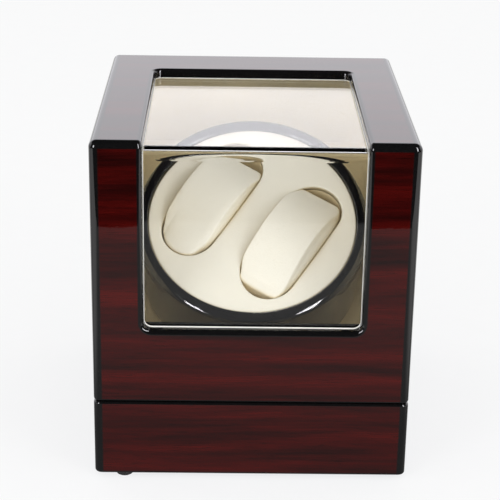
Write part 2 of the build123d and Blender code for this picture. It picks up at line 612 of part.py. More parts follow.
with BuildPart() as hinge_base_leaves:
    for sx in (1, -1):
        with BuildSketch(Plane.YZ.offset(sx * HINGE_X - HL / 2)):
            with BuildLine():
                Polyline(*hinge_leaf_profile(-1), close=True)
            make_face()
        extrude(amount=HL)
        # clear the middle for the lid's knuckle
        with Locations((sx * HINGE_X, HINGE_Y, SEAM_Z)):
            Box(2 * (HL / 2 - K1), 2 * (KNUCKLE_R + 0.25), 4, mode=Mode.SUBTRACT)
        for x0 in (sx * HINGE_X - HL / 2, sx * HINGE_X + HL / 2 - K1):
            with BuildSketch(Plane.YZ.offset(x0)):
                with Locations((HINGE_Y, SEAM_Z)):
                    Circle(KNUCKLE_R)
            extrude(amount=K1)
        with BuildSketch(Plane.YZ.offset(sx * HINGE_X - HL / 2 - 1)):
            with Locations((HINGE_Y, SEAM_Z)):
                Circle(PIN_R + 0.02)
        extrude(amount=HL + 2, mode=Mode.SUBTRACT)
        with Locations(*[(sx * HINGE_X + dx, 89.4, SEAM_Z - 1) for dx in (-10, 10)]):
            Cylinder(0.85, 4, mode=Mode.SUBTRACT)
save(hinge_base_leaves, "hinge_base_leaves")

with BuildPart() as hinge_lid_leaves:
    for sx in (1, -1):
        with BuildSketch(Plane.YZ.offset(sx * HINGE_X - HL / 2)):
            with BuildLine():
                Polyline(*hinge_leaf_profile(1), close=True)
            make_face()
        extrude(amount=HL)
        # clear both ends for the base's knuckles
        with Locations((sx * HINGE_X - HL / 2 + (K1 + 0.25) / 2, HINGE_Y, SEAM_Z), (sx * HINGE_X + HL / 2 - (K1 + 0.25) / 2, HINGE_Y, SEAM_Z)):
            Box(K1 + 0.25, 2 * (KNUCKLE_R + 0.25), 4, mode=Mode.SUBTRACT)
        with BuildSketch(Plane.YZ.offset(sx * HINGE_X - KIN)):
            with Locations((HINGE_Y, SEAM_Z)):
                Circle(KNUCKLE_R)
        extrude(amount=2 * KIN)
        with BuildSketch(Plane.YZ.offset(sx * HINGE_X - HL / 2 - 1)):
            with Locations((HINGE_Y, SEAM_Z)):
                Circle(PIN_R + 0.05)
        extrude(amount=HL + 2, mode=Mode.SUBTRACT)
        with Locations(*[(sx * HINGE_X + dx, 89.4, SEAM_Z + 1) for dx in (-10, 10)]):
            Cylinder(0.85, 4, mode=Mode.SUBTRACT)
save(hinge_lid_leaves, "hinge_lid_leaves")

with BuildPart() as hinge_pins:
    for sx in (1, -1):
        with BuildSketch(Plane.YZ.offset(sx * HINGE_X - HL / 2)):
            with Locations((HINGE_Y, SEAM_Z)):
                Circle(PIN_R)
        extrude(amount=HL)
save(hinge_pins, "hinge_pins")


def hinge_screw_set(sign):
    """Flush screws of one leaf: sign -1 goes down into the base, +1 up into the lid."""
    spots = [(sx * HINGE_X + dx, 89.4, SEAM_Z + sign * SEAM_GAP / 2) for sx in (1, -1) for dx in (-10, 10)]
    with BuildPart() as screws:
        for sp in spots:
            with BuildSketch(Plane(sp, x_dir=(1, 0, 0), z_dir=(0, -1, 0))):
                with BuildLine():
                    Polyline((0, sign * 0.02), (0.8, sign * 0.02), (0.8, sign * 9.0), (0.3, sign * 10.0), (0, sign * 10.0), close=True)
                make_face()
            revolve(axis=Axis(sp, (0, 0, 1)))
    return screws


save(hinge_screw_set(-1), "hinge_base_screws")
save(hinge_screw_set(1), "hinge_lid_screws")

# ----------------------------------------------------------------------------
# Turntable
# ----------------------------------------------------------------------------
SKIRT = -8.5            # lower edge of the bezel ring
PAD_T = 4.0
with BuildPart() as turntable_drum:
    with BuildSketch(TURN_SIDE):
        with BuildLine():
            Polyline((4.02, -DRUM_DEPTH), (DRUM_R - 3, -DRUM_DEPTH), (DRUM_R, -DRUM_DEPTH + 3), (DRUM_R, -1.5), (DRUM_R - DRUM_WALL, -1.5),
                     (DRUM_R - DRUM_WALL, -PAD_T - 0.05), (57.5, -PAD_T - 0.05), (57.5, -PAD_T - 1.8), (DRUM_R - DRUM_WALL, -PAD_T - 1.8),
                     (DRUM_R - DRUM_WALL, -DRUM_DEPTH + 4), (DRUM_R - DRUM_WALL - 1.6, -DRUM_DEPTH + 2.4), (4.02, -DRUM_DEPTH + 2.4), close=True)
        make_face()
    revolve(axis=TURN_AXIS)
    with BuildSketch(TURN.offset(-DRUM_DEPTH - 1)):
        with PolarLocations(13, 4, start_angle=45):
            Circle(1.52)
    extrude(amount=5, mode=Mode.SUBTRACT)
save(turntable_drum, "turntable_drum")

with BuildPart() as bezel_ring:
    with BuildSketch(TURN_SIDE):
        with BuildLine():
            Line((DRUM_R + 0.05, SKIRT), (RING_R - 0.5, SKIRT))
            Line((RING_R - 0.5, SKIRT), (RING_R, SKIRT + 0.5))
            Line((RING_R, SKIRT + 0.5), (RING_R, -1.6))
            RadiusArc((RING_R, -1.6), (RING_R - 2.8, 1.2), -2.8)
            Line((RING_R - 2.8, 1.2), (PAD_R + 1.1, 1.2))
            RadiusArc((PAD_R + 1.1, 1.2), (PAD_R + 0.1, 0.2), -1.0)
            Line((PAD_R + 0.1, 0.2), (PAD_R + 0.1, -1.4))
            Line((PAD_R + 0.1, -1.4), (DRUM_R + 0.05, -1.4))
            Line((DRUM_R + 0.05, -1.4), (DRUM_R + 0.05, SKIRT))
        make_face()
    revolve(axis=TURN_AXIS)
save(bezel_ring, "bezel_ring")


def pocket_plane(side, h):
    """Plane square to the turntable axis at height h, centred on a pocket, x along the pocket."""
    a = radians(POCKET_ANGLE)
    px, py = sin(a) * POCKET_OFFSET * side, -cos(a) * POCKET_OFFSET * side
    long_dir = Vector(1, 0, 0) * cos(a) + U * sin(a)
    return Plane(origin=on_turn(px, py, h), x_dir=long_dir, z_dir=N)


with BuildPart() as pad_plate:
    with BuildSketch(TURN.offset(-PAD_T)):
        Circle(PAD_R)
    extrude(amount=PAD_T)
    for side in (-1, 1):
        with BuildSketch(pocket_plane(side, -PAD_T)):
            SlotOverall(POCKET_L, POCKET_W)
        extrude(amount=PAD_T, mode=Mode.SUBTRACT)
    fillet(pad_plate.faces().sort_by(Axis(ORG, N))[-1].edges(), 1.0)
save(pad_plate, "pad_plate")

POCKET_WALL = 1.2
for side, name in ((-1, "pocket_liner_left"), (1, "pocket_liner_right")):
    with BuildPart() as liner:
        with BuildSketch(pocket_plane(side, -POCKET_DEPTH - POCKET_WALL)):
            SlotOverall(POCKET_L + 2 * POCKET_WALL, POCKET_W + 2 * POCKET_WALL)
        extrude(amount=POCKET_DEPTH + POCKET_WALL - PAD_T - 0.05)
        with BuildSketch(pocket_plane(side, -POCKET_DEPTH)):
            SlotOverall(POCKET_L, POCKET_W)
        extrude(amount=POCKET_DEPTH, mode=Mode.SUBTRACT)
    save(liner, name)

# hub flange inside the drum, with the shaft through it
HUB_TOP = -DRUM_DEPTH + 2.45 + 3.0
with BuildPart() as turntable_hub:
    with BuildSketch(TURN.offset(-DRUM_DEPTH + 2.45)):
        Circle(18)
        Circle(4.02, mode=Mode.SUBTRACT)
        with PolarLocations(13, 4, start_angle=45):
            Circle(1.52, mode=Mode.SUBTRACT)
    extrude(amount=3.0)
save(turntable_hub, "turntable_hub")

with BuildPart() as hub_screws:
    for k in range(4):
        ax, ay = 13 * cos(radians(45 + 90 * k)), 13 * sin(radians(45 + 90 * k))
        with BuildSketch(Plane(origin=on_turn(ax, ay, 0), x_dir=(1, 0, 0), z_dir=(0, -c, -s))):
            with BuildLine():
                Polyline((0, -DRUM_DEPTH + 0.1), (1.5, -DRUM_DEPTH + 0.1), (1.5, HUB_TOP + 0.02), (2.7, HUB_TOP + 0.02), (2.7, HUB_TOP + 0.5), (2.2, HUB_TOP + 0.8),
                         (0, HUB_TOP + 0.8), close=True)
            make_face()
        revolve(axis=Axis(on_turn(ax, ay, 0), N))
save(hub_screws, "hub_screws")

with BuildPart() as turntable_shaft:
    with BuildSketch(TURN.offset(GEAR_TOP - GEAR_T - 2.0)):
        Circle(4.0)
    extrude(amount=HUB_TOP - 0.5 - (GEAR_TOP - GEAR_T - 2.0))
    chamfer(turntable_shaft.edges().filter_by(GeomType.CIRCLE), 0.4)
save(turntable_shaft, "turntable_shaft")


# ----------------------------------------------------------------------------
# Gears
# ----------------------------------------------------------------------------
def gear_points(teeth, first_tooth_deg, backlash=0.14, steps=4):
    """Closed outline of a 20 degree involute spur gear."""
    rp = MODULE * teeth / 2
    rb = rp * cos(radians(20))
    ra = rp + 0.92 * MODULE
    rf = rp - 1.25 * MODULE
    half = pi / (2 * teeth) - backlash / (2 * rp)
    inv20 = tan(radians(20)) - radians(20)

    def spread(r):
        al = acos(min(1.0, rb / r))
        return half + inv20 - (tan(al) - al)

    r_low = max(rb, rf + 0.05)
    radii = [r_low + (ra - r_low) * k / steps for k in range(steps + 1)]
    pts = []
    for k in range(teeth):
        mid = radians(first_tooth_deg) + 2 * pi * k / teeth
        pts.append((rf, mid - spread(r_low) - 0.006))
        pts += [(r, mid - spread(r)) for r in radii]
        pts += [(r, mid + spread(r)) for r in reversed(radii)]
        pts.append((rf, mid + spread(r_low) + 0.006))
    return [(r * cos(a), r * sin(a)) for r, a in pts]


with BuildPart() as drive_gear:
    with BuildSketch(TURN.offset(GEAR_TOP - GEAR_T)):
        with BuildLine():
            Polyline(*gear_points(GEAR_TEETH, 0.0), close=True)
        make_face()
        Circle(4.02, mode=Mode.SUBTRACT)
        with PolarLocations(13.5, 6):
            Circle(3.6, mode=Mode.SUBTRACT)
    extrude(amount=GEAR_T)
    with BuildSketch(TURN.offset(GEAR_TOP)):
        Circle(7.5)
        Circle(4.02, mode=Mode.SUBTRACT)
    extrude(amount=0.9)
save(drive_gear, "drive_gear")

with BuildPart() as motor_pinion:
    with BuildSketch(Plane(origin=on_turn(CENTRES, 0, GEAR_TOP - GEAR_T + 0.3), x_dir=(1, 0, 0), z_dir=N)):
        with BuildLine():
            Polyline(*gear_points(PINION_TEETH, 11.25), close=True)
        make_face()
        Circle(2.02, mode=Mode.SUBTRACT)
    extrude(amount=GEAR_T - 0.6)
save(motor_pinion, "motor_pinion")

with BuildPart() as motor_output_shaft:
    with BuildSketch(TURN.offset(GB_TOP - 8.0)):
        with Locations((CENTRES, 0)):
            Circle(2.0)
    extrude(amount=GEAR_TOP + 0.8 - (GB_TOP - 8.0))
save(motor_output_shaft, "motor_output_shaft")

# ----------------------------------------------------------------------------
# Watch cushions
# ----------------------------------------------------------------------------
# each is squeezed to the pocket's outline, and the left one sits a little lower
for side, name, slide, sink in ((-1, "watch_cushion_left", -1.0, 1.0), (1, "watch_cushion_right", 0.3, 0.0)):
    half = CUSHION_L / 2
    drop = CUSHION_ARCH_R - (CUSHION_ARCH_R ** 2 - half ** 2) ** 0.5
    base = pocket_plane(side, -sink)
    across = N.cross(base.x_dir)          # across the cushion
    prof = Plane(origin=base.origin + base.x_dir * slide + across * 20, x_dir=base.x_dir, z_dir=across * -1)
    with BuildPart() as cushion:
        with BuildSketch(pocket_plane(side, CUSHION_BOTTOM)):
            SlotOverall(POCKET_L - 2 * CUSHION_GAP, POCKET_W - 2 * CUSHION_GAP)
        extrude(amount=CUSHION_CREST - CUSHION_BOTTOM + 1)
        with BuildSketch(prof):
            with BuildLine():
                ThreePointArc((-half, CUSHION_CREST - drop), (0, CUSHION_CREST), (half, CUSHION_CREST - drop))
                Line((half, CUSHION_CREST - drop), (half, CUSHION_BOTTOM + 2))
                Line((half, CUSHION_BOTTOM + 2), (-half, CUSHION_BOTTOM + 2))
                Line((-half, CUSHION_BOTTOM + 2), (-half, CUSHION_CREST - drop))
            make_face()
        extrude(amount=40, mode=Mode.INTERSECT)
        fillet(cushion.edges().filter_by(Axis(ORG, N)), 1.2)
        top_face = [f for f in cushion.faces() if f.geom_type == GeomType.CYLINDER and abs(f.radius - CUSHION_ARCH_R) < 0.5]
        fillet(top_face[0].edges(), 1.8)
    save(cushion, name)
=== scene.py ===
import json
import math

import bmesh
import bpy
import numpy as np
from mathutils import Matrix, Vector
from mathutils.geometry import delaunay_2d_cdt


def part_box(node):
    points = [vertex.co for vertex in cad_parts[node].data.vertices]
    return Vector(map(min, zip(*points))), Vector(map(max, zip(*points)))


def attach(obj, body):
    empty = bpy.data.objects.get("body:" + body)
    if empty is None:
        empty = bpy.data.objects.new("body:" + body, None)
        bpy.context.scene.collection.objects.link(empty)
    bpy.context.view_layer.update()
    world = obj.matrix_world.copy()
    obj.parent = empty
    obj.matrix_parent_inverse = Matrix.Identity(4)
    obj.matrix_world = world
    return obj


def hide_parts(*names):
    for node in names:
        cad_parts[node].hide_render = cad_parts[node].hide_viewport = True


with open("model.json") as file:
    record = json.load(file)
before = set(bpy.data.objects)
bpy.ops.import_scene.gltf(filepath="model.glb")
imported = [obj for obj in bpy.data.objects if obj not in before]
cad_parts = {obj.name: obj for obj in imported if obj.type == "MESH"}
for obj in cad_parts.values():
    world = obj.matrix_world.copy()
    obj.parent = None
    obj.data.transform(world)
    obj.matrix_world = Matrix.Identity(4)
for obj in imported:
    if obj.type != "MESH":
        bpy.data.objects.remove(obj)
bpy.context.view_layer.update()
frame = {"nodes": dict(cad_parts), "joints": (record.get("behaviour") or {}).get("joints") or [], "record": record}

SC = bpy.context.scene
NODES = frame["nodes"]
MM = 0.001


# ---------------------------------------------------------------------------
# Small helpers for node trees
# ---------------------------------------------------------------------------
class Tree:
    """A node tree with short calls: inputs are values or output sockets."""

    def __init__(self, tree):
        self.t = tree
        tree.nodes.clear()

    def add(self, kind, ins=None, **props):
        n = self.t.nodes.new("ShaderNode" + kind)
        for k, v in props.items():
            setattr(n, k, v)
        for k, v in (ins or {}).items():
            if isinstance(v, bpy.types.NodeSocket):
                self.t.links.new(v, n.inputs[k])
            else:
                n.inputs[k].default_value = v
        return n

    def math(self, op, a, b=0.0, c=0.0, clamp=False):
        n = self.add("Math", {0: a, 1: b, 2: c}, operation=op, use_clamp=clamp)
        return n.outputs[0]

    def step(self, x, lo, hi):
        """Smooth step of x from lo to hi."""
        n = self.add("MapRange", {"Value": x, "From Min": lo, "From Max": hi, "To Min": 0.0, "To Max": 1.0}, interpolation_type="SMOOTHSTEP")
        return n.outputs[0]

    def remap(self, x, lo, hi, a, b):
        n = self.add("MapRange", {"Value": x, "From Min": lo, "From Max": hi, "To Min": a, "To Max": b})
        return n.outputs[0]

    def vec(self, x, y, z):
        return self.add("CombineXYZ", {0: x, 1: y, 2: z}).outputs[0]

    def xyz(self, v):
        n = self.add("SeparateXYZ", {0: v})
        return n.outputs[0], n.outputs[1], n.outputs[2]

    def noise(self, v, scale, detail=2.0, rough=0.5, distort=0.0):
        n = self.add("TexNoise", {"Vector": v, "Scale": scale, "Detail": detail, "Roughness": rough, "Distortion": distort})
        return n.outputs[0]

    def voronoi(self, v, scale, feature="F1", rand=1.0):
        n = self.add("TexVoronoi", {"Vector": v, "Scale": scale, "Randomness": rand}, feature=feature)
        return n.outputs["Distance"]

    def ramp(self, x, stops, interp="LINEAR"):
        n = self.add("ValToRGB", {0: x})
        n.color_ramp.interpolation = interp
        e = n.color_ramp.elements
        while len(e) > 1:
            e.remove(e[-1])
        e[0].position, e[0].color = stops[0][0], (*stops[0][1], 1)
        for p, col in stops[1:]:
            k = e.new(p)
            k.color = (*col, 1)
        return n.outputs[0]

    def mix(self, f, a, b):
        """Mixed colours."""
        n = self.t.nodes.new("ShaderNodeMix")
        n.data_type = "RGBA"
        for sock, v in ((n.inputs[0], f), (n.inputs[6], a), (n.inputs[7], b)):
            if isinstance(v, bpy.types.NodeSocket):
                self.t.links.new(v, sock)
            elif sock.type == "RGBA":
                sock.default_value = (*v[:3], 1)
            else:
                sock.default_value = v
        return n.outputs[2]

    def mul(self, col, f):
        """A colour scaled by a number."""
        n = self.t.nodes.new("ShaderNodeVectorMath")
        n.operation = "SCALE"
        self.t.links.new(col, n.inputs[0])
        if isinstance(f, bpy.types.NodeSocket):
            self.t.links.new(f, n.inputs["Scale"])
        else:
            n.inputs["Scale"].default_value = f
        return n.outputs[0]

    def bump(self, height, distance, strength=1.0, normal=None):
        ins = {"Height": height, "Distance": distance, "Strength": strength}
        if normal is not None:
            ins["Normal"] = normal
        return self.add("Bump", ins).outputs[0]

    def where(self):
        return self.add("TexCoord").outputs["Object"]


def material(name):
    m = bpy.data.materials.new(name)
    m.use_nodes = True
    t = Tree(m.node_tree)
    out = t.add("OutputMaterial")
    return m, t, out


def close(t, out, ins):
    p = t.add("BsdfPrincipled", ins)
    t.t.links.new(p.outputs[0], out.inputs[0])
    return p


# ---------------------------------------------------------------------------
# Materials
# ---------------------------------------------------------------------------
def make_veneer():
    """Dark red rosewood veneer under thick clear lacquer, with black lacquered edges."""
    m, t, out = material("lacquered_rosewood")
    v = t.where()
    x, y, z = t.xyz(v)
    ax, ay = t.math("ABSOLUTE", x), t.math("ABSOLUTE", y)
    # how many of the three edge zones a point is in: one on a face, two on an edge, none inside
    ex = t.step(ax, 0.0822, 0.0830)
    ey = t.step(ay, 0.0897, 0.0905)
    ez = t.step(z, 0.1938, 0.1942)
    seam = t.math("ABSOLUTE", t.math("SUBTRACT", z, 0.0478))
    es = t.math("SUBTRACT", 1.0, t.step(seam, 0.0013, 0.0017))
    eb = t.math("SUBTRACT", 1.0, t.step(z, 0.0041, 0.0047))
    total = t.math("ADD", t.math("ADD", ex, ey), t.math("ADD", t.math("ADD", ez, es), eb))
    off_face = t.math("ABSOLUTE", t.math("SUBTRACT", total, 1.0), clamp=True)
    # black band round the window, with rounded corners
    q1 = t.math("MAXIMUM", t.math("SUBTRACT", ax, 0.055), 0.0)
    q2 = t.math("MAXIMUM", t.math("MAXIMUM", t.math("SUBTRACT", 0.0955, z), t.math("SUBTRACT", y, 0.0522)), 0.0)
    d = t.math("SUBTRACT", t.math("SQRT", t.math("ADD", t.math("MULTIPLY", q1, q1), t.math("MULTIPLY", q2, q2))), 0.0045)
    band = t.math("SUBTRACT", 1.0, t.step(d, 0.0026, 0.0031))
    black = t.math("MAXIMUM", off_face, band, clamp=True)
    # grain runs level round the four sides, and from side to side on the top
    top = t.step(z, 0.1940, 0.1944)
    s = t.add("Mix", {0: top, 2: z, 3: t.math("ADD", y, 0.37)}, data_type="FLOAT").outputs[0]
    along = t.add("Mix", {0: top, 2: t.math("ADD", x, y), 3: x}, data_type="FLOAT").outputs[0]
    sway = t.noise(t.vec(t.math("MULTIPLY", along, 7.0), t.math("MULTIPLY", s, 9.0), 3.1), 1.0, 2.0)
    s = t.math("ADD", s, t.math("MULTIPLY", t.math("SUBTRACT", sway, 0.5), 0.0075))
    broad = t.noise(t.vec(t.math("MULTIPLY", along, 4.2), t.math("MULTIPLY", s, 62.0), 0.0), 1.0, 3.0, 0.55)
    streak = t.noise(t.vec(t.math("MULTIPLY", along, 9.0), t.math("MULTIPLY", s, 165.0), 5.2), 1.0, 5.0, 0.62)
    fibre = t.noise(t.vec(t.math("MULTIPLY", along, 38.0), t.math("MULTIPLY", s, 1500.0), 1.7), 1.0, 3.0, 0.6)
    pore = t.noise(t.vec(t.math("MULTIPLY", along, 95.0), t.math("MULTIPLY", s, 2600.0), 8.4), 1.0, 1.0)
    body = t.math("ADD", t.math("MULTIPLY", broad, 0.62), t.math("MULTIPLY", streak, 0.38))
    wood = t.ramp(body, [(0.36, (0.0064, 0.0008, 0.0008)), (0.44, (0.0158, 0.0010, 0.0009)), (0.52, (0.0300, 0.0013, 0.0011)), (0.64, (0.0495, 0.0020, 0.0014))])
    wood = t.mul(wood, t.remap(fibre, 0.3, 0.7, 0.80, 1.20))
    wood = t.mul(wood, t.remap(t.step(pore, 0.62, 0.70), 0.0, 1.0, 1.0, 0.55))
    lacquer = t.ramp(t.noise(v, 900.0, 2.0), [(0.35, (0.0028, 0.0028, 0.0031)), (0.65, (0.0042, 0.0041, 0.0044))])
    colour = t.mix(black, wood, lacquer)
    # the lacquer is almost flat: a faint long swell, and a trace of the polish
    swell = t.noise(v, 26.0, 1.0)
    polish = t.noise(v, 420.0, 2.0)
    skin = t.bump(t.math("ADD", t.math("MULTIPLY", swell, 1.0), t.math("MULTIPLY", polish, 0.03)), 0.00009, 1.0)
    under = t.bump(fibre, 0.00003, 0.5)
    close(t, out, {"Base Color": colour, "Roughness": t.remap(fibre, 0.3, 0.7, 0.42, 0.55), "Specular IOR Level": 0.0, "Normal": under,
                   "Coat Weight": 1.0, "Coat Roughness": 0.015, "Coat IOR": 1.5, "Coat Normal": skin})
    return m


def make_leather(name, colour, vary=0.05, grain=0.00075, depth=0.00005, rough=(0.46, 0.60), tint=(0.72, 0.62, 0.46), painted_shade_tint=None, reach=0.013, open_at=0.97):
    """Fine-grained synthetic leather: pebbles with darker valleys, slow colour drift, and, given a shade tint, painted
    shade: darker, warmer colour where the ambient occlusion node finds other surfaces close by.
    """
    m, t, out = material(name)
    v = t.where()
    wob = t.add("VectorMath", {0: v, 1: t.add("VectorMath", {0: t.add("TexNoise", {"Vector": v, "Scale": 1400.0, "Detail": 1.0}).outputs["Color"], 1: (0.00035, 0.00035, 0.00035)}, operation="MULTIPLY").outputs[0]}, operation="ADD").outputs[0]
    cell = t.voronoi(wob, 1.0 / grain, "SMOOTH_F1")
    valley = t.step(cell, 0.35, 0.85)
    slow = t.noise(v, 34.0, 3.0, 0.55)
    mid = t.noise(v, 240.0, 3.0, 0.6)
    crease = t.noise(t.vec(*[t.math("MULTIPLY", k, f) for k, f in zip(t.xyz(v), (160.0, 420.0, 300.0))]), 1.0, 3.0, 0.65, 0.8)
    lo = tuple(c * (1 - vary) for c in colour)
    hi = tuple(min(1.0, c * (1 + vary * 0.6)) for c in colour)
    base = t.ramp(t.math("ADD", t.math("MULTIPLY", slow, 0.7), t.math("MULTIPLY", mid, 0.3)), [(0.32, lo), (0.68, hi)])
    base = t.mix(t.math("MULTIPLY", valley, 0.10), base, tuple(c * k for c, k in zip(colour, tint)))
    # painted shade: the ambient occlusion node darkens and warms the base colour in creases and next to nearby parts,
    # where shade falls
    if painted_shade_tint:
        open_sky = t.add("AmbientOcclusion", {"Distance": reach}, samples=6).outputs["AO"]
        base = t.mix(t.math("SUBTRACT", 1.0, t.remap(open_sky, 0.35, open_at, 0.0, 1.0)), base, painted_shade_tint)
    h = t.math("SUBTRACT", t.math("MULTIPLY", mid, 0.5), t.math("MULTIPLY", valley, 1.0))
    h = t.math("ADD", h, t.math("MULTIPLY", t.step(crease, 0.60, 0.72), -0.6))
    n = t.bump(h, depth, 0.8)
    close(t, out, {"Base Color": base, "Roughness": t.remap(mid, 0.3, 0.7, *rough), "Specular IOR Level": 0.35, "Normal": n,
                   "Sheen Weight": 0.08, "Sheen Roughness": 0.5, "Subsurface Weight": 0.0})
    return m


def make_plastic(name, colour, rough, bump_depth, bump_scale, spec=0.5, gloss=False):
    """Moulded plastic with a spark-eroded grain, or polished with faint wipe marks."""
    m, t, out = material(name)
    v = t.where()
    grain = t.noise(v, bump_scale, 3.0, 0.6)
    slow = t.noise(v, 40.0, 3.0)
    col = t.ramp(t.math("ADD", t.math("MULTIPLY", grain, 0.4), t.math("MULTIPLY", slow, 0.6)), [(0.3, tuple(c * 0.86 for c in colour)), (0.7, tuple(c * 1.14 for c in colour))])
    r = t.remap(t.math("ADD", t.math("MULTIPLY", grain, 0.5), t.math("MULTIPLY", slow, 0.5)), 0.3, 0.7, *rough)
    ins = {"Base Color": col, "Roughness": r, "Specular IOR Level": spec, "Normal": t.bump(grain, bump_depth, 0.7)}
    if gloss:
        ins.update({"Coat Weight": 1.0, "Coat Roughness": 0.02, "Coat IOR": 1.5})
    close(t, out, ins)
    return m


def make_metal(name, colour, rough, scale=(300.0, 300.0, 9000.0)):
    """Satin metal with directional brushing and slight tarnish."""
    m, t, out = material(name)
    v = t.where()
    x, y, z = t.xyz(v)
    brush = t.noise(t.vec(t.math("MULTIPLY", x, scale[0]), t.math("MULTIPLY", y, scale[1]), t.math("MULTIPLY", z, scale[2])), 1.0, 3.0, 0.65)
    spots = t.noise(v, 190.0, 4.0, 0.6)
    col = t.ramp(t.math("ADD", t.math("MULTIPLY", brush, 0.35), t.math("MULTIPLY", spots, 0.65)), [(0.30, tuple(c * 0.72 for c in colour)), (0.62, colour)])
    close(t, out, {"Base Color": col, "Metallic": 1.0, "Roughness": t.remap(brush, 0.3, 0.7, *rough), "Normal": t.bump(brush, 0.00001, 0.6)})
    return m


def make_fibreboard():
    m, t, out = material("black_stained_fibreboard")
    v = t.where()
    chips = t.voronoi(v, 700.0, "F1")
    fibres = t.noise(v, 1600.0, 4.0, 0.7)
    slow = t.noise(v, 25.0, 3.0)
    col = t.ramp(t.math("ADD", t.math("MULTIPLY", fibres, 0.6), t.math("MULTIPLY", slow, 0.4)), [(0.3, (0.016, 0.014, 0.013)), (0.7, (0.047, 0.041, 0.037))])
    h = t.math("ADD", fibres, t.math("MULTIPLY", chips, 0.4))
    close(t, out, {"Base Color": col, "Roughness": t.remap(fibres, 0.3, 0.7, 0.72, 0.92), "Specular IOR Level": 0.25, "Normal": t.bump(h, 0.00008, 0.8)})
    return m


def make_circuit_board():
    m, t, out = material("green_circuit_board")
    v = t.where()
    x, y, z = t.xyz(v)
    # copper tracks showing through the solder mask, in a stepped pattern
    gx = t.math("PINGPONG", t.math("MULTIPLY", x, 400.0), 1.0)
    gz = t.math("PINGPONG", t.math("MULTIPLY", z, 400.0), 1.0)
    sel = t.noise(v, 130.0, 0.0)
    track = t.step(t.add("Mix", {0: t.step(sel, 0.49, 0.51), 2: gx, 3: gz}, data_type="FLOAT").outputs[0], 0.70, 0.78)
    green = t.ramp(t.noise(v, 300.0, 3.0), [(0.3, (0.010, 0.085, 0.030)), (0.7, (0.016, 0.125, 0.045))])
    col = t.mix(track, green, (0.045, 0.235, 0.085))
    close(t, out, {"Base Color": col, "Roughness": 0.30, "Normal": t.bump(track, 0.00004, 0.8), "Coat Weight": 0.3, "Coat Roughness": 0.1})
    return m


def make_wire():
    """Red lead and black lead, told apart by height."""
    m, t, out = material("lead_insulation")
    v = t.where()
    x, y, z = t.xyz(v)
    pick = t.step(z, 0.0225, 0.0235)
    n = t.noise(v, 1200.0, 3.0)
    red = t.ramp(n, [(0.3, (0.30, 0.012, 0.010)), (0.7, (0.42, 0.020, 0.015))])
    blk = t.ramp(n, [(0.3, (0.010, 0.010, 0.011)), (0.7, (0.020, 0.020, 0.021))])
    close(t, out, {"Base Color": t.mix(pick, blk, red), "Roughness": 0.42, "Normal": t.bump(n, 0.00003, 0.5)})
    return m


def make_acrylic():
    """Polished clear acrylic. Light passes straight through for shadows and diffuse light."""
    m, t, out = material("polished_clear_acrylic")
    v = t.where()
    wave = t.noise(v, 14.0, 1.0)
    haze = t.noise(v, 60.0, 3.0, 0.6)
    n = t.bump(wave, 0.00002, 0.5)
    tint = t.ramp(haze, [(0.3, (0.985, 0.988, 0.985)), (0.7, (0.995, 0.995, 0.992))])
    p = t.add("BsdfPrincipled", {"Base Color": tint, "Roughness": t.remap(haze, 0.45, 0.75, 0.0, 0.012), "IOR": 1.425, "Transmission Weight": 1.0, "Normal": n})
    clear = t.add("BsdfTransparent", {0: (0.96, 0.965, 0.965, 1)})
    lp = t.add("LightPath")
    skip = t.math("MAXIMUM", lp.outputs["Is Shadow Ray"], lp.outputs["Is Diffuse Ray"])
    mx = t.add("MixShader", {0: skip, 1: p.outputs[0], 2: clear.outputs[0]})
    t.t.links.new(mx.outputs[0], out.inputs[0])
    return m


def make_bead():
    """Whitish bead where the pane meets the frame: a painted highlight standing in for the bright line of light that
    the pane's cut edge reflects.
    """
    m, t, out = material("pane_edge_highlight")
    v = t.where()
    n = t.noise(v, 160.0, 3.0, 0.6)
    col = t.ramp(n, [(0.3, (0.80, 0.80, 0.78)), (0.7, (0.93, 0.93, 0.91))])
    close(t, out, {"Base Color": col, "Roughness": 0.12, "Normal": t.bump(n, 0.0001, 0.6), "Subsurface Weight": 0.0, "Coat Weight": 0.6, "Coat Roughness": 0.04})
    return m


MAT = {
    "lacquered_veneer": make_veneer(),
    "clear_acrylic": make_acrylic(),
    "cream_leather": make_leather("cream_lining_leather", (0.93, 0.81, 0.55)),
    # the cushion leather carries painted shade: its colour darkens and warms within 9 mm of other surfaces
    "cream_cushion": make_leather("cream_cushion_leather", (0.90, 0.87, 0.78), vary=0.025, grain=0.0009, depth=0.00003, rough=(0.42, 0.54), painted_shade_tint=(0.82, 0.71, 0.49), reach=0.009, open_at=0.90),
    "gloss_black_plastic": make_plastic("piano_black", (0.0060, 0.0060, 0.0072), (0.05, 0.10), 0.000004, 700.0, gloss=True),
    "matte_black_plastic": make_plastic("moulded_black", (0.022, 0.022, 0.024), (0.42, 0.62), 0.00003, 2600.0),
    "black_rubber": make_plastic("foot_rubber", (0.012, 0.012, 0.012), (0.62, 0.82), 0.00005, 1500.0, spec=0.35),
    "fibreboard": make_fibreboard(),
    "brass": make_metal("satin_brass", (0.78, 0.57, 0.25), (0.22, 0.38)),
    "steel": make_metal("zinc_plated_steel", (0.62, 0.63, 0.65), (0.20, 0.36)),
    "white_plastic": make_plastic("natural_acetal", (0.70, 0.70, 0.67), (0.34, 0.48), 0.00001, 1400.0),
    "circuit_board": make_circuit_board(),
    "wire_insulation": make_wire(),
}
# the pad leather carries strong painted shade: darker, warmer colour near the cushions, pockets and ring, most of all
# between the cushions
PAD_LEATHER = make_leather("cream_pad_leather", (0.90, 0.87, 0.78), vary=0.02, grain=0.0008, depth=0.00003, rough=(0.40, 0.52), painted_shade_tint=(0.50, 0.41, 0.23), reach=0.016, open_at=0.80)
SLOT_OF = {p["node"]: p["material_slot"] for p in frame["record"]["subparts"]}


def dress(obj, mat):
    if not obj.material_slots:
        obj.data.materials.append(mat)
    for ms in obj.material_slots:
        ms.material = mat


for name, obj in NODES.items():
    dress(obj, MAT[SLOT_OF[name]])


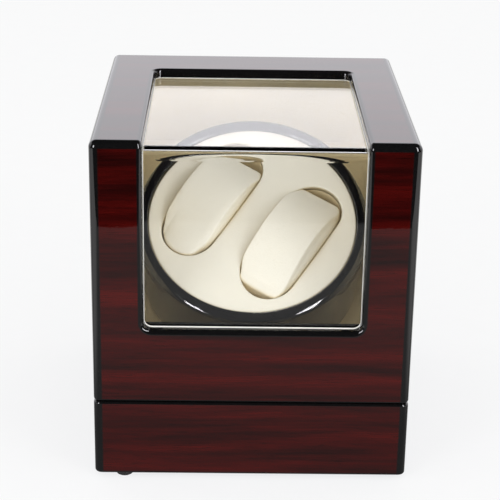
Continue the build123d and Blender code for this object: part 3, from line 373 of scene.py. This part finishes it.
# ---------------------------------------------------------------------------
# Turntable frame: X, U up the slope, N along the axis, origin on the face
# ---------------------------------------------------------------------------
spin = next(j for j in frame["joints"] if j["name"] == "turntable_spin")
ORG = Vector(spin["pos_m"])
N = Vector(spin["axis"]).normalized()
X = Vector((1, 0, 0))
U = N.cross(X)
PAD_LO, PAD_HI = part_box("pad_plate")
PAD_R = (PAD_HI.x - PAD_LO.x) / 2
ANGLE = math.radians(58.5)
SLOT_OFF, SLOT_HALF, SLOT_R = 26.5 * MM, 24.8 * MM, 16.5 * MM
LONG = X * math.cos(ANGLE) + U * math.sin(ANGLE)
ACROSS = N.cross(LONG)


def link(me, name, body, mat):
    ob = bpy.data.objects.new(name, me)
    SC.collection.objects.link(ob)
    me.materials.clear()
    me.materials.append(mat)
    for p in me.polygons:
        p.use_smooth = True
    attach(ob, body)
    return ob


# ---------------------------------------------------------------------------
# Leather-covered pad of the turntable, with its edges rolled into the pockets
# ---------------------------------------------------------------------------
def lip(side, u):
    """How far the leather reaches over the pocket on its right-hand side, more at the lower end."""
    k = max(-1.0, min(1.0, u / (30 * MM)))
    return (1.1 - 0.35 * k if side < 0 else 0.6 - 0.75 * k) * MM


def slot_loop(side, off, n_arc=30, n_line=14):
    """Points of the slot outline grown by off, in X, U, counter-clockwise."""
    c = np.array([math.sin(ANGLE), -math.cos(ANGLE)]) * SLOT_OFF * side
    l = np.array([math.cos(ANGLE), math.sin(ANGLE)])
    w = np.array([-math.sin(ANGLE), math.cos(ANGLE)])
    r = SLOT_R + off
    pts = []
    for k in range(n_arc):
        a = -math.pi / 2 + math.pi * k / n_arc
        pts.append(c + l * (SLOT_HALF + r * math.cos(a)) + w * (r * math.sin(a) - lip(side, SLOT_HALF) * min(math.sin(a), 0.0)))
    for k in range(n_line):
        pts.append(c + l * (SLOT_HALF - 2 * SLOT_HALF * k / n_line) + w * r)
    for k in range(n_arc):
        a = math.pi / 2 + math.pi * k / n_arc
        pts.append(c + l * (-SLOT_HALF + r * math.cos(a)) + w * (r * math.sin(a) - lip(side, -SLOT_HALF) * min(math.sin(a), 0.0)))
    for k in range(n_line):
        x = -SLOT_HALF + 2 * SLOT_HALF * k / n_line
        pts.append(c + l * x - w * (r - lip(side, x)))
    return pts


def slot_gap(p, side):
    """Signed distance of p from the slot outline."""
    c = np.array([math.sin(ANGLE), -math.cos(ANGLE)]) * SLOT_OFF * side
    l = np.array([math.cos(ANGLE), math.sin(ANGLE)])
    q = np.asarray(p) - c
    u = max(-SLOT_HALF, min(SLOT_HALF, float(q @ l)))
    e = q - l * u
    along, over = float(e @ l), float(e @ np.array([-math.sin(ANGLE), math.cos(ANGLE)]))
    if over < 0:
        over *= SLOT_R / (SLOT_R - lip(side, u))
    return math.hypot(along, over) - SLOT_R


ROLL_W, ROLL_D, EDGE_W, EDGE_D, PAD_T = 1.3 * MM, 1.2 * MM, 1.1 * MM, 1.0 * MM, 4.0 * MM


def pad_height(p):
    """Height of the leather face above the pad's nominal plane."""
    h = 0.0
    for side in (-1, 1):
        g = slot_gap(p, side)
        if g < ROLL_W:
            k = (ROLL_W - max(g, 0.0)) / ROLL_W
            h -= ROLL_D * (1 - math.sqrt(max(0.0, 1 - k ** 2.2)))
    r = float(np.linalg.norm(p))
    if r > PAD_R - EDGE_W:
        k = (r - (PAD_R - EDGE_W)) / EDGE_W
        h -= EDGE_D * (1 - math.sqrt(max(0.0, 1 - min(1.0, k) ** 2)))
    # foam under the leather: a very slight fall towards every edge
    near = min(slot_gap(p, -1), slot_gap(p, 1), PAD_R - r)
    h -= 0.22 * MM * math.exp(-max(near, 0.0) / (5.0 * MM))
    return h


def circle_loop(r, n=150):
    return [np.array([r * math.cos(2 * math.pi * k / n), r * math.sin(2 * math.pi * k / n)]) for k in range(n)]


def triangulate(loops, dots, keep):
    verts, edges = [], []
    for lp in loops:
        s = len(verts)
        verts += [Vector((float(p[0]), float(p[1]))) for p in lp]
        edges += [(s + k, s + (k + 1) % len(lp)) for k in range(len(lp))]
    verts += [Vector((float(p[0]), float(p[1]))) for p in dots]
    vs, _, fs, _, _, _ = delaunay_2d_cdt(verts, edges, [], 0, 1e-7, False)
    out = []
    for f in fs:
        cen = sum((vs[i] for i in f), Vector((0, 0))) / len(f)
        if keep(cen):
            out.append(list(f))
    return vs, out


def make_pad():
    loops = [circle_loop(PAD_R - d * MM) for d in (0.0, 0.12, 0.4, 0.75, 1.15)]
    for side in (-1, 1):
        loops += [slot_loop(side, d * MM) for d in (0.0, 0.03, 0.10, 0.24, 0.46, 0.78, 1.2, 1.8, 2.7, 4.0)]
    dots, step = [], 2.6 * MM
    k = int(PAD_R / step) + 1
    for i in range(-k, k + 1):
        for j in range(-k, k + 1):
            p = np.array([(i + 0.5 * (j % 2)) * step, j * step * 0.866])
            if np.linalg.norm(p) < PAD_R - 2.6 * MM and min(slot_gap(p, -1), slot_gap(p, 1)) > 5.4 * MM:
                dots.append(p)

    def keep(c):
        return c.length < PAD_R and min(slot_gap(c, -1), slot_gap(c, 1)) > 0

    vs, fs = triangulate(loops, dots, keep)
    bm = bmesh.new()
    top = [bm.verts.new(ORG + X * p[0] + U * p[1] + N * pad_height(p)) for p in vs]
    flat = [Vector((p[0], p[1])) for p in vs]
    for f in fs:
        bm.faces.new([top[i] for i in f])
    for f in bm.faces:
        f.normal_update()
        if f.normal.dot(N) < 0:
            f.normal_flip()
    # outer wall and underside close the form
    bm.edges.ensure_lookup_table()
    rim = [e for e in bm.edges if e.is_boundary]
    index = {v: i for i, v in enumerate(top)}
    low = {}
    for e in rim:
        for v in e.verts:
            if v not in low:
                low[v] = bm.verts.new(v.co - N * (PAD_T + (v.co - ORG).dot(N)))
    for e in rim:
        a, b = e.verts
        f = e.link_faces[0]
        loop = next(l for l in f.loops if l.edge == e)
        a, b = loop.vert, loop.link_loop_next.vert
        bm.faces.new([b, a, low[a], low[b]])
    low_flat = {v: flat[index[v]] for v in low}
    order = [v for v in low_flat]
    outline = [[flat[index[v]] for v in order]]
    vs2, fs2 = triangulate([], [np.array(low_flat[v]) for v in order], keep)
    # the underside reuses the lower rim's corners
    keys = {(round(low_flat[v].x, 7), round(low_flat[v].y, 7)): low[v] for v in order}
    for f in fs2:
        q = [keys.get((round(vs2[i].x, 7), round(vs2[i].y, 7))) for i in f]
        if None not in q and len(set(q)) == 3:
            try:
                bm.faces.new(q)
            except ValueError:
                pass
    bmesh.ops.remove_doubles(bm, verts=bm.verts, dist=1e-7)
    bmesh.ops.recalc_face_normals(bm, faces=bm.faces)
    me = bpy.data.meshes.new("turntable_pad_cover")
    bm.to_mesh(me)
    bm.free()
    ob = link(me, "turntable_pad_cover", "turntable", PAD_LEATHER)
    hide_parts("pad_plate")
    return ob


make_pad()


# ---------------------------------------------------------------------------
# Watch cushions: foam in a folded leather cover, inflated by cloth simulation
# ---------------------------------------------------------------------------
CUSH_HL, CUSH_HW, ARCH_R = 34.5 * MM, 16.05 * MM, 55.0 * MM
SIM = 10.0      # the simulation runs at ten times the size


def crown(u, crest):
    return crest - ARCH_R + math.sqrt(ARCH_R ** 2 - min(abs(u), CUSH_HL) ** 2)


def half_width(u):
    """Half the width of the pocket-shaped cushion at u along the pocket."""
    past = max(0.0, abs(u) - SLOT_HALF)
    return math.sqrt(max(CUSH_HW ** 2 - past ** 2, (4 * MM) ** 2))


def smooth(x, lo, hi):
    k = min(1.0, max(0.0, (x - lo) / (hi - lo)))
    return k * k * (3 - 2 * k)


def evaluated(ob):
    dg = bpy.context.evaluated_depsgraph_get()
    return bpy.data.meshes.new_from_object(ob.evaluated_get(dg))


def make_cushion(side, name, node, body, crest, slide):
    """crest is the height of the arch and slide how far it sits up the pocket, as in the CAD."""
    origin = ORG - ACROSS * SLOT_OFF * side
    to_world = Matrix((
        (LONG.x, ACROSS.x, N.x, origin.x),
        (LONG.y, ACROSS.y, N.y, origin.y),
        (LONG.z, ACROSS.z, N.z, origin.z),
        (0, 0, 0, 1)))
    me = NODES[node].data.copy()
    me.transform(Matrix.Scale(SIM, 4) @ to_world.inverted())
    ob = bpy.data.objects.new(name + "_sim", me)
    SC.collection.objects.link(ob)
    bm = bmesh.new()
    bm.from_mesh(me)
    bmesh.ops.remove_doubles(bm, verts=bm.verts, dist=1e-4)
    # starts slightly small, because it swells
    for v in bm.verts:
        v.co.y *= 0.975
        if v.co.z > -20 * MM * SIM:
            v.co.z -= 0.30 * MM * SIM
    bm.to_mesh(me)
    bm.free()
    r = ob.modifiers.new("r", "REMESH")
    r.mode = "VOXEL"
    r.voxel_size = 1.15 * MM * SIM
    me2 = evaluated(ob)
    ob.modifiers.clear()
    ob.data = me2
    rest = np.array([v.co for v in me2.vertices], float)
    group = ob.vertex_groups.new(name="pin")
    for i, (u, w, h) in enumerate(rest / SIM):
        fold = crown(u - slide, crest) - 0.30 * MM - h
        edge = max(abs(w) / (half_width(u) * 0.975), abs(u - slide) / CUSH_HL)
        on_fold = math.exp(-((1 - edge) / 0.08) ** 2) * math.exp(-((fold - 0.6 * MM) / (2.0 * MM)) ** 2)
        deep = min(1.0, max(0.0, (-h - 16 * MM) / (8 * MM)))
        group.add([i], float(min(1.0, max(on_fold * 0.95, deep))), "REPLACE")
    c = ob.modifiers.new("c", "CLOTH")
    s = c.settings
    s.quality = 4
    s.mass = 0.3
    s.tension_stiffness = 22
    s.compression_stiffness = 18
    s.shear_stiffness = 8
    s.bending_stiffness = 3.0
    s.air_damping = 2.0
    s.use_pressure = True
    s.uniform_pressure_force = 4.0
    s.vertex_group_mass = "pin"
    s.pin_stiffness = 1.0
    s.effector_weights.gravity = 0.0
    c.point_cache.frame_start, c.point_cache.frame_end = 1, 20
    for f in range(1, 21):
        SC.frame_set(f)
    me3 = evaluated(ob)
    moved = np.array([v.co for v in me3.vertices], float)
    ob.modifiers.clear()
    SC.frame_set(1)
    d = moved - rest
    length = np.linalg.norm(d, axis=1, keepdims=True)
    cap = 0.8 * MM * SIM
    d *= np.minimum(1.0, cap / np.maximum(length, 1e-9))
    me2.vertices.foreach_set("co", (rest + d).astype(np.float32).ravel())
    # even out the voxel steps, then one subdivision
    bm = bmesh.new()
    bm.from_mesh(me2)
    for _ in range(2):
        bmesh.ops.smooth_vert(bm, verts=bm.verts, factor=0.5, use_axis_x=True, use_axis_y=True, use_axis_z=True)
    bm.to_mesh(me2)
    bm.free()
    sub = ob.modifiers.new("s", "SUBSURF")
    sub.levels = sub.render_levels = 1
    me4 = evaluated(ob)
    ob.modifiers.clear()
    co = np.array([v.co for v in me4.vertices], float) / SIM
    for i, (u, w, h) in enumerate(co):
        v = u - slide
        fold = crown(v, crest) - h
        half = half_width(u)
        # a sewn line under the fold all the way round, and tucks at the four corners
        groove = math.exp(-((fold - 3.4 * MM) / (0.40 * MM)) ** 2)
        reach = max(abs(v) / CUSH_HL, abs(w) / half)
        k = 0.26 * MM * groove * smooth(reach, 0.90, 0.95)
        cu, cw = CUSH_HL - 4.0 * MM - abs(v), half - 4.0 * MM - abs(w)
        if cu < 0 and cw < 0:
            a = math.atan2(-cw, -cu)
            k += 0.26 * MM * math.cos(9.0 * a) * math.exp(-((fold - 3.0 * MM) / (2.2 * MM)) ** 2)
        if abs(v) / CUSH_HL > abs(w) / half:
            u -= math.copysign(k, v)
        else:
            w -= math.copysign(k, w)
        # the cover leans up the slope, and its lower side panel draws in towards the fold
        near = 1.0 - smooth(fold, 0.0, 8.5 * MM)
        high = smooth(h, -1.0 * MM, 7.0 * MM)
        full = smooth(h, -0.5 * MM, 4.5 * MM)
        t = max(-1.0, min(1.0, v / (30 * MM)))
        up = near * smooth(h, -8 * MM, -3 * MM)
        if side > 0:
            left, right = CUSH_HW + 2.3 * MM * full, (-15.50 - 0.72 * t + (2.3 - 1.1 * t * t + 0.6 * t) * up) * MM
        else:
            u -= 2.0 * MM * smooth(v, 8 * MM, 32 * MM) * smooth(h, -12 * MM, -5 * MM)
            left, right = CUSH_HW + 2.2 * MM * full, (-15.05 - 0.35 * t + (0.5 - 0.6 * t) * up) * MM
        w = (left + right) / 2 + (left - right) / 2 * w / CUSH_HW
        # the folds stay crisp
        crisp = smooth(reach, 0.86, 0.97) * (1.0 - smooth(fold, 0.6 * MM, 2.4 * MM))
        h += 0.45 * MM * crisp
        w += math.copysign(0.35 * MM, w) * crisp * smooth(abs(w) / half, 0.86, 0.97)
        u += math.copysign(0.35 * MM, v) * crisp * smooth(abs(v) / CUSH_HL, 0.90, 0.98)
        # upper end fills the width of the pocket
        top = smooth(v, 22 * MM, 33 * MM) * smooth(h, -9 * MM, -4 * MM)
        u += 0.55 * MM * top
        w *= 1.0 + 0.075 * top
        if side < 0:
            w += 0.4 * MM * smooth(v, -10 * MM, 25 * MM) * smooth(w, 0, 14 * MM) * high
        # lower end: the right one swells out, the left one fills the round end of the pocket
        if side > 0 and u < 0:
            u *= 1.0 + 0.080 * smooth(-u, 0, 30 * MM) * (1 - 0.35 * (w / CUSH_HW) ** 2)
        if side < 0 and u < -18 * MM:
            r2 = (15.95 * MM) ** 2 - w * w
            arc = -(SLOT_HALF + math.sqrt(max(r2, 0.0)))
            now = -min(CUSH_HL - slide, SLOT_HALF + math.sqrt(max(CUSH_HW ** 2 - w * w, 0.0)))
            k = min(1.45, max(1.0, (arc + 18 * MM) / (now + 18 * MM)))
            u2 = -18 * MM + (u + 18 * MM) * k
            h += 2.7 * MM * smooth(-u2, 22 * MM, 38 * MM) * smooth(h, -9 * MM, -4 * MM)
            u = u2
        # below the pad the cover stays inside the pocket's liner
        out_by = math.hypot(max(abs(u) - SLOT_HALF, 0.0), w)
        room = CUSH_HW + 0.30 * MM
        if out_by > room and h < -2.6 * MM:
            k = 1.0 + (room / out_by - 1.0) * smooth(-h, 2.6 * MM, 4.0 * MM)
            w *= k
            if abs(u) > SLOT_HALF:
                u = math.copysign(SLOT_HALF + (abs(u) - SLOT_HALF) * k, u)
        co[i] = (u, w, h)
    me4.vertices.foreach_set("co", co.astype(np.float32).ravel())
    me4.transform(to_world)
    me4.name = name
    bpy.data.objects.remove(ob)
    out = link(me4, name, body, MAT["cream_cushion"])
    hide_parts(node)
    return out


make_cushion(-1, "cushion_left_cover", "watch_cushion_left", "cushion_left", 9.0 * MM, -1.0 * MM)
make_cushion(1, "cushion_right_cover", "watch_cushion_right", "cushion_right", 10.0 * MM, 0.3 * MM)


# ---------------------------------------------------------------------------
# Whitish bead where the pane meets the window frame: a painted highlight for the bright line along the pane's cut edge
# ---------------------------------------------------------------------------
def tube(name, pts, radius, body, mat, closed=False, seg=10, squash=1.0):
    """A round bead along the points."""
    bm = bmesh.new()
    rings = []
    n = len(pts)
    up = Vector((1, 0, 0))
    for i, p in enumerate(pts):
        a = pts[i - 1] if (i or closed) else p
        b = pts[(i + 1) % n] if (i < n - 1 or closed) else p
        tan = (b - a).normalized()
        side = tan.cross(up)
        if side.length < 0.3:
            side = tan.cross(Vector((0, 1, 0))) if abs(tan.y) < 0.8 else tan.cross(Vector((0, 0, 1)))
        side.normalize()
        nrm = side.cross(tan).normalized()
        r = radius(p) if callable(radius) else radius
        rings.append([bm.verts.new(p + side * r * math.cos(2 * math.pi * k / seg) + nrm * r * squash * math.sin(2 * math.pi * k / seg)) for k in range(seg)])
    for i in range(n if closed else n - 1):
        r1, r2 = rings[i], rings[(i + 1) % n]
        shift = min(range(seg), key=lambda k: sum((r1[j].co - r2[(j + k) % seg].co).length for j in range(seg)))
        for k in range(seg):
            bm.faces.new([r1[k], r1[(k + 1) % seg], r2[(k + 1 + shift) % seg], r2[(k + shift) % seg]])
    if not closed:
        bm.faces.new(rings[0])
        bm.faces.new(list(reversed(rings[-1])))
    bmesh.ops.recalc_face_normals(bm, faces=bm.faces)
    me = bpy.data.meshes.new(name)
    bm.to_mesh(me)
    bm.free()
    return link(me, name, body, mat)


BEND = 6.5 * MM       # outside radius of the pane's bend


def bead_path(off_y, off_z, inset):
    """Round the window: down the front left, along the sill, up the right, and round the top."""
    hw, r = 59.5 * MM - inset, 4.5 * MM - inset
    y0, z1 = -89.48 * MM - off_y, 192.48 * MM + off_z
    sill, rear = 91 * MM + inset, 56.7 * MM - inset
    pts = []

    def corner(cx, cb, a0, a1, plane):
        for k in range(9):
            a = math.radians(a0 + (a1 - a0) * k / 8)
            if plane == "front":
                pts.append(Vector((cx + r * math.cos(a), y0, cb + r * math.sin(a))))
            else:
                pts.append(Vector((cx + r * math.cos(a), cb + r * math.sin(a), z1)))

    def line(a, b, n):
        for k in range(1, n):
            pts.append(Vector(a).lerp(Vector(b), k / n))

    def bend(x, down):
        rb = BEND
        seq = range(0, 9) if not down else range(8, -1, -1)
        for k in seq:
            a = math.pi / 2 * k / 8
            pts.append(Vector((x, y0 + rb - rb * math.cos(a), z1 - rb + rb * math.sin(a))))

    corner(-hw + r, sill + r, 180, 270, "front")
    line((-hw + r, y0, sill), (hw - r, y0, sill), 30)
    corner(hw - r, sill + r, 270, 360, "front")
    line((hw, y0, sill + r), (hw, y0, z1 - BEND), 30)
    bend(hw, False)
    line((hw, y0 + BEND, z1), (hw, rear - r, z1), 30)
    corner(hw - r, rear - r, 0, 90, "top")
    line((hw - r, rear, z1), (-hw + r, rear, z1), 30)
    corner(-hw + r, rear - r, 90, 180, "top")
    line((-hw, rear - r, z1), (-hw, y0 + BEND, z1), 30)
    bend(-hw, True)
    line((-hw, y0, z1 - BEND), (-hw, y0, sill + r), 30)
    return pts


def bead_size(p):
    """Fuller along the sill and thin elsewhere."""
    return (0.22 + 0.20 * (1 - smooth(p.z, 91.5 * MM, 94.5 * MM))) * MM


# the bead's pale colour is a painted highlight along the window's edge
tube("window_edge_highlight_bead", bead_path(0.2 * MM, 0.2 * MM, 0.2 * MM), bead_size, "lid", make_bead(), closed=True)


def make_retainer():
    """Black strip that holds the pane's lower edge from behind: splayed on top, showing just over the sill."""
    bm = bmesh.new()
    y0, y1, z0, z1, r = -86.40 * MM, -85.00 * MM, 86.0 * MM, 92.9 * MM, 0.12 * MM
    prof = [(y0, z0 + r), (y0 + r, z0), (y1 - r, z0), (y1, z0 + r), (y1, z1 - 1.4 * MM), (y1 - r, z1 - 1.2 * MM), (y0 + 1.6 * r, z1 - 0.4 * r), (y0 + 0.6 * r, z1 - 0.3 * r), (y0, z1 - 1.2 * r)]
    hw, n = 64.0 * MM, 32
    rings = [[bm.verts.new((-hw + 2 * hw * i / n, y, z)) for y, z in prof] for i in range(n + 1)]
    m = len(prof)
    for a, b in zip(rings, rings[1:]):
        for k in range(m):
            bm.faces.new([a[k], a[(k + 1) % m], b[(k + 1) % m], b[k]])
    bm.faces.new(rings[0])
    bm.faces.new(list(reversed(rings[-1])))
    bmesh.ops.recalc_face_normals(bm, faces=bm.faces)
    me = bpy.data.meshes.new("pane_retaining_strip")
    bm.to_mesh(me)
    bm.free()
    ob = link(me, "pane_retaining_strip", "lid", MAT["gloss_black_plastic"])
    for p in me.polygons:
        p.use_smooth = False
    return ob


make_retainer()


# ---------------------------------------------------------------------------
# Studio: pale sweep, soft light
# ---------------------------------------------------------------------------
def make_floor():
    me = bpy.data.meshes.new("floor")
    R = 9.0
    me.from_pydata([(-R, -R, 0), (R, -R, 0), (R, R, 0), (-R, R, 0)], [], [(0, 1, 2, 3)])
    ob = bpy.data.objects.new("studio_floor", me)
    SC.collection.objects.link(ob)
    m, t, out = material("studio_paper")
    v = t.where()
    x, y, z = t.xyz(v)
    ax = t.math("ABSOLUTE", x)
    lp = t.add("LightPath")
    tex = t.noise(v, 55.0, 3.0)
    # what the camera and soft light see: white paper
    paper = t.ramp(tex, [(0.3, (0.198, 0.198, 0.198)), (0.7, (0.204, 0.204, 0.203))])
    direct = t.add("AddShader", {0: t.add("Emission", {0: (0.990, 0.998, 1.015, 1), 1: 0.77}).outputs[0], 1: t.add("BsdfDiffuse", {0: paper}).outputs[0]})
    # what the lacquer reflects: a table that ends in front, brighter to the sides
    side = t.step(ax, 0.14, 0.30)
    ahead = t.math("SUBTRACT", 1.0, t.step(y, -0.11, -0.05))
    corner = t.math("MULTIPLY", side, ahead)
    level = t.math("ADD", t.remap(y, -0.30, -0.14, 0.38, 0.25), t.math("MULTIPLY", corner, 0.85))
    end = t.math("MULTIPLY", t.step(y, -0.5085, -0.5055), t.math("SUBTRACT", 1.0, t.step(ax, 1.0, 1.4)))
    level = t.math("ADD", t.math("MULTIPLY", level, end), t.math("MULTIPLY", t.math("SUBTRACT", 1.0, end), 0.02))
    level = t.math("MAXIMUM", level, t.math("MULTIPLY", t.step(y, -0.05, 0.02), 0.95))
    seen = t.add("Emission", {0: (1.0, 1.0, 1.0, 1), 1: level})
    mirrored = t.math("MULTIPLY", t.math("MINIMUM", lp.outputs["Glossy Depth"], 1.0), t.math("SUBTRACT", 1.0, lp.outputs["Is Diffuse Ray"]))
    s1 = t.add("MixShader", {0: mirrored, 1: direct.outputs[0], 2: seen.outputs[0]})
    # from below the paper isn't in the way
    geo = t.add("NewGeometry")
    under = t.math("MULTIPLY", geo.outputs["Backfacing"], lp.outputs["Is Camera Ray"])
    s2 = t.add("MixShader", {0: under, 1: s1.outputs[0], 2: t.add("BsdfTransparent").outputs[0]})
    t.t.links.new(s2.outputs[0], out.inputs[0])
    me.materials.append(m)
    return ob


make_floor()


def make_world():
    w = bpy.data.worlds.new("studio")
    SC.world = w
    w.use_nodes = True
    t = Tree(w.node_tree)
    out = t.add("OutputWorld")
    d = t.add("TexCoord").outputs["Generated"]
    x, y, z = t.xyz(d)
    lp = t.add("LightPath")
    # glossy surroundings: bright low wall behind and beside, dark above and ahead, two strip boxes in front
    low = t.math("MULTIPLY", t.math("SUBTRACT", 1.0, t.step(z, 0.50, 0.66)), t.step(z, -0.02, 0.01))
    rear = t.step(y, -0.25, 0.10)
    wall = t.math("MULTIPLY", t.math("MULTIPLY", low, rear), t.remap(z, 0.22, 0.32, 1.56, 1.74))
    az = t.math("ARCTAN2", t.math("ABSOLUTE", x), t.math("MULTIPLY", y, -1.0))
    strip = t.math("MULTIPLY", t.step(az, math.radians(27), math.radians(30)), t.math("SUBTRACT", 1.0, t.step(az, math.radians(44), math.radians(47))))
    height = t.add("Mix", {0: t.step(x, -0.1, 0.1), 2: 0.54, 3: 0.86}, data_type="FLOAT").outputs[0]
    strip = t.math("MULTIPLY", strip, t.math("MULTIPLY", t.step(z, 0.02, 0.05), t.step(t.math("SUBTRACT", height, z), 0.0, 0.04)))
    glossy = t.math("ADD", t.math("ADD", wall, t.math("MULTIPLY", strip, 15.0)), 0.02)
    # diffuse surroundings: soft tent, brighter at the sides than overhead
    soft = t.math("SUBTRACT", 1.62, t.math("MULTIPLY", t.step(z, 0.15, 1.0), 1.15))
    mirrored = t.math("MULTIPLY", t.math("MINIMUM", lp.outputs["Glossy Depth"], 1.0), t.math("SUBTRACT", 1.0, lp.outputs["Is Diffuse Ray"]))
    cam = t.math("MULTIPLY", t.math("MAXIMUM", lp.outputs["Is Camera Ray"], lp.outputs["Is Transmission Ray"]), t.math("SUBTRACT", 1.0, mirrored))
    b1 = t.math("ADD", t.math("MULTIPLY", soft, t.math("SUBTRACT", 1.0, mirrored)), t.math("MULTIPLY", glossy, mirrored))
    level = t.math("ADD", t.math("MULTIPLY", b1, t.math("SUBTRACT", 1.0, cam)), t.math("MULTIPLY", cam, 0.985))
    # light that has bounced about the room is warmer; the wall in the mirror is a cool grey
    warm = t.math("MULTIPLY", t.math("SUBTRACT", 1.0, mirrored), t.math("SUBTRACT", 1.0, cam))
    tone = t.mix(warm, t.mix(mirrored, (1.0, 1.0, 1.0), (0.985, 0.975, 1.02)), (1.01, 0.985, 0.93))
    bg = t.add("Background", {0: tone, 1: level})
    t.t.links.new(bg.outputs[0], out.inputs[0])


make_world()


def area(name, loc, target, size, power, glossy=False):
    l = bpy.data.lights.new(name, "AREA")
    l.shape = "RECTANGLE"
    l.size, l.size_y = size
    l.energy = power
    ob = bpy.data.objects.new(name, l)
    ob.location = loc
    ob.rotation_mode = "QUATERNION"
    ob.rotation_quaternion = (Vector(target) - Vector(loc)).to_track_quat("-Z", "Y")
    ob.visible_glossy = glossy
    ob.visible_transmission = False
    ob.visible_camera = False
    SC.collection.objects.link(ob)
    return ob


area("key_overhead", (0.05, -0.45, 1.35), (0, -0.02, 0.12), (0.9, 0.7), 0.4)
area("side_left", (-0.82, -1.10, 0.60), (0, 0, 0.12), (0.45, 0.8), 5.0)
area("side_right", (0.95, -1.00, 0.52), (0, 0, 0.12), (0.45, 0.7), 4.5)
area("front_right", (0.52, -1.30, 0.24), (0, 0, 0.12), (0.5, 0.3), 1.8)


# ---------------------------------------------------------------------------
# Camera at the photograph's angle
# ---------------------------------------------------------------------------
def make_camera():
    pitch, yaw, roll = 0.36594735, 0.01625224, -0.01723376
    cp, sp, cy, sy = math.cos(pitch), math.sin(pitch), math.cos(yaw), math.sin(yaw)
    fwd = Vector((sy * cp, cy * cp, -sp))
    right = Vector((cy, -sy, 0))
    down = fwd.cross(right)
    c, s = math.cos(roll), math.sin(roll)
    r2, d2 = right * c + down * s, down * c - right * s
    data = bpy.data.cameras.new("camera")
    data.lens = 111.98
    data.sensor_width = 36.0
    data.clip_start, data.clip_end = 0.01, 60.0
    cam = bpy.data.objects.new("camera", data)
    cam.matrix_world = Matrix((
        (r2.x, -d2.x, -fwd.x, -0.0148),
        (r2.y, -d2.y, -fwd.y, -0.8693),
        (r2.z, -d2.z, -fwd.z, 0.4354),
        (0, 0, 0, 1)))
    SC.collection.objects.link(cam)
    SC.camera = cam


make_camera()
SC.view_settings.view_transform = "Standard"
SC.view_settings.look = "None"
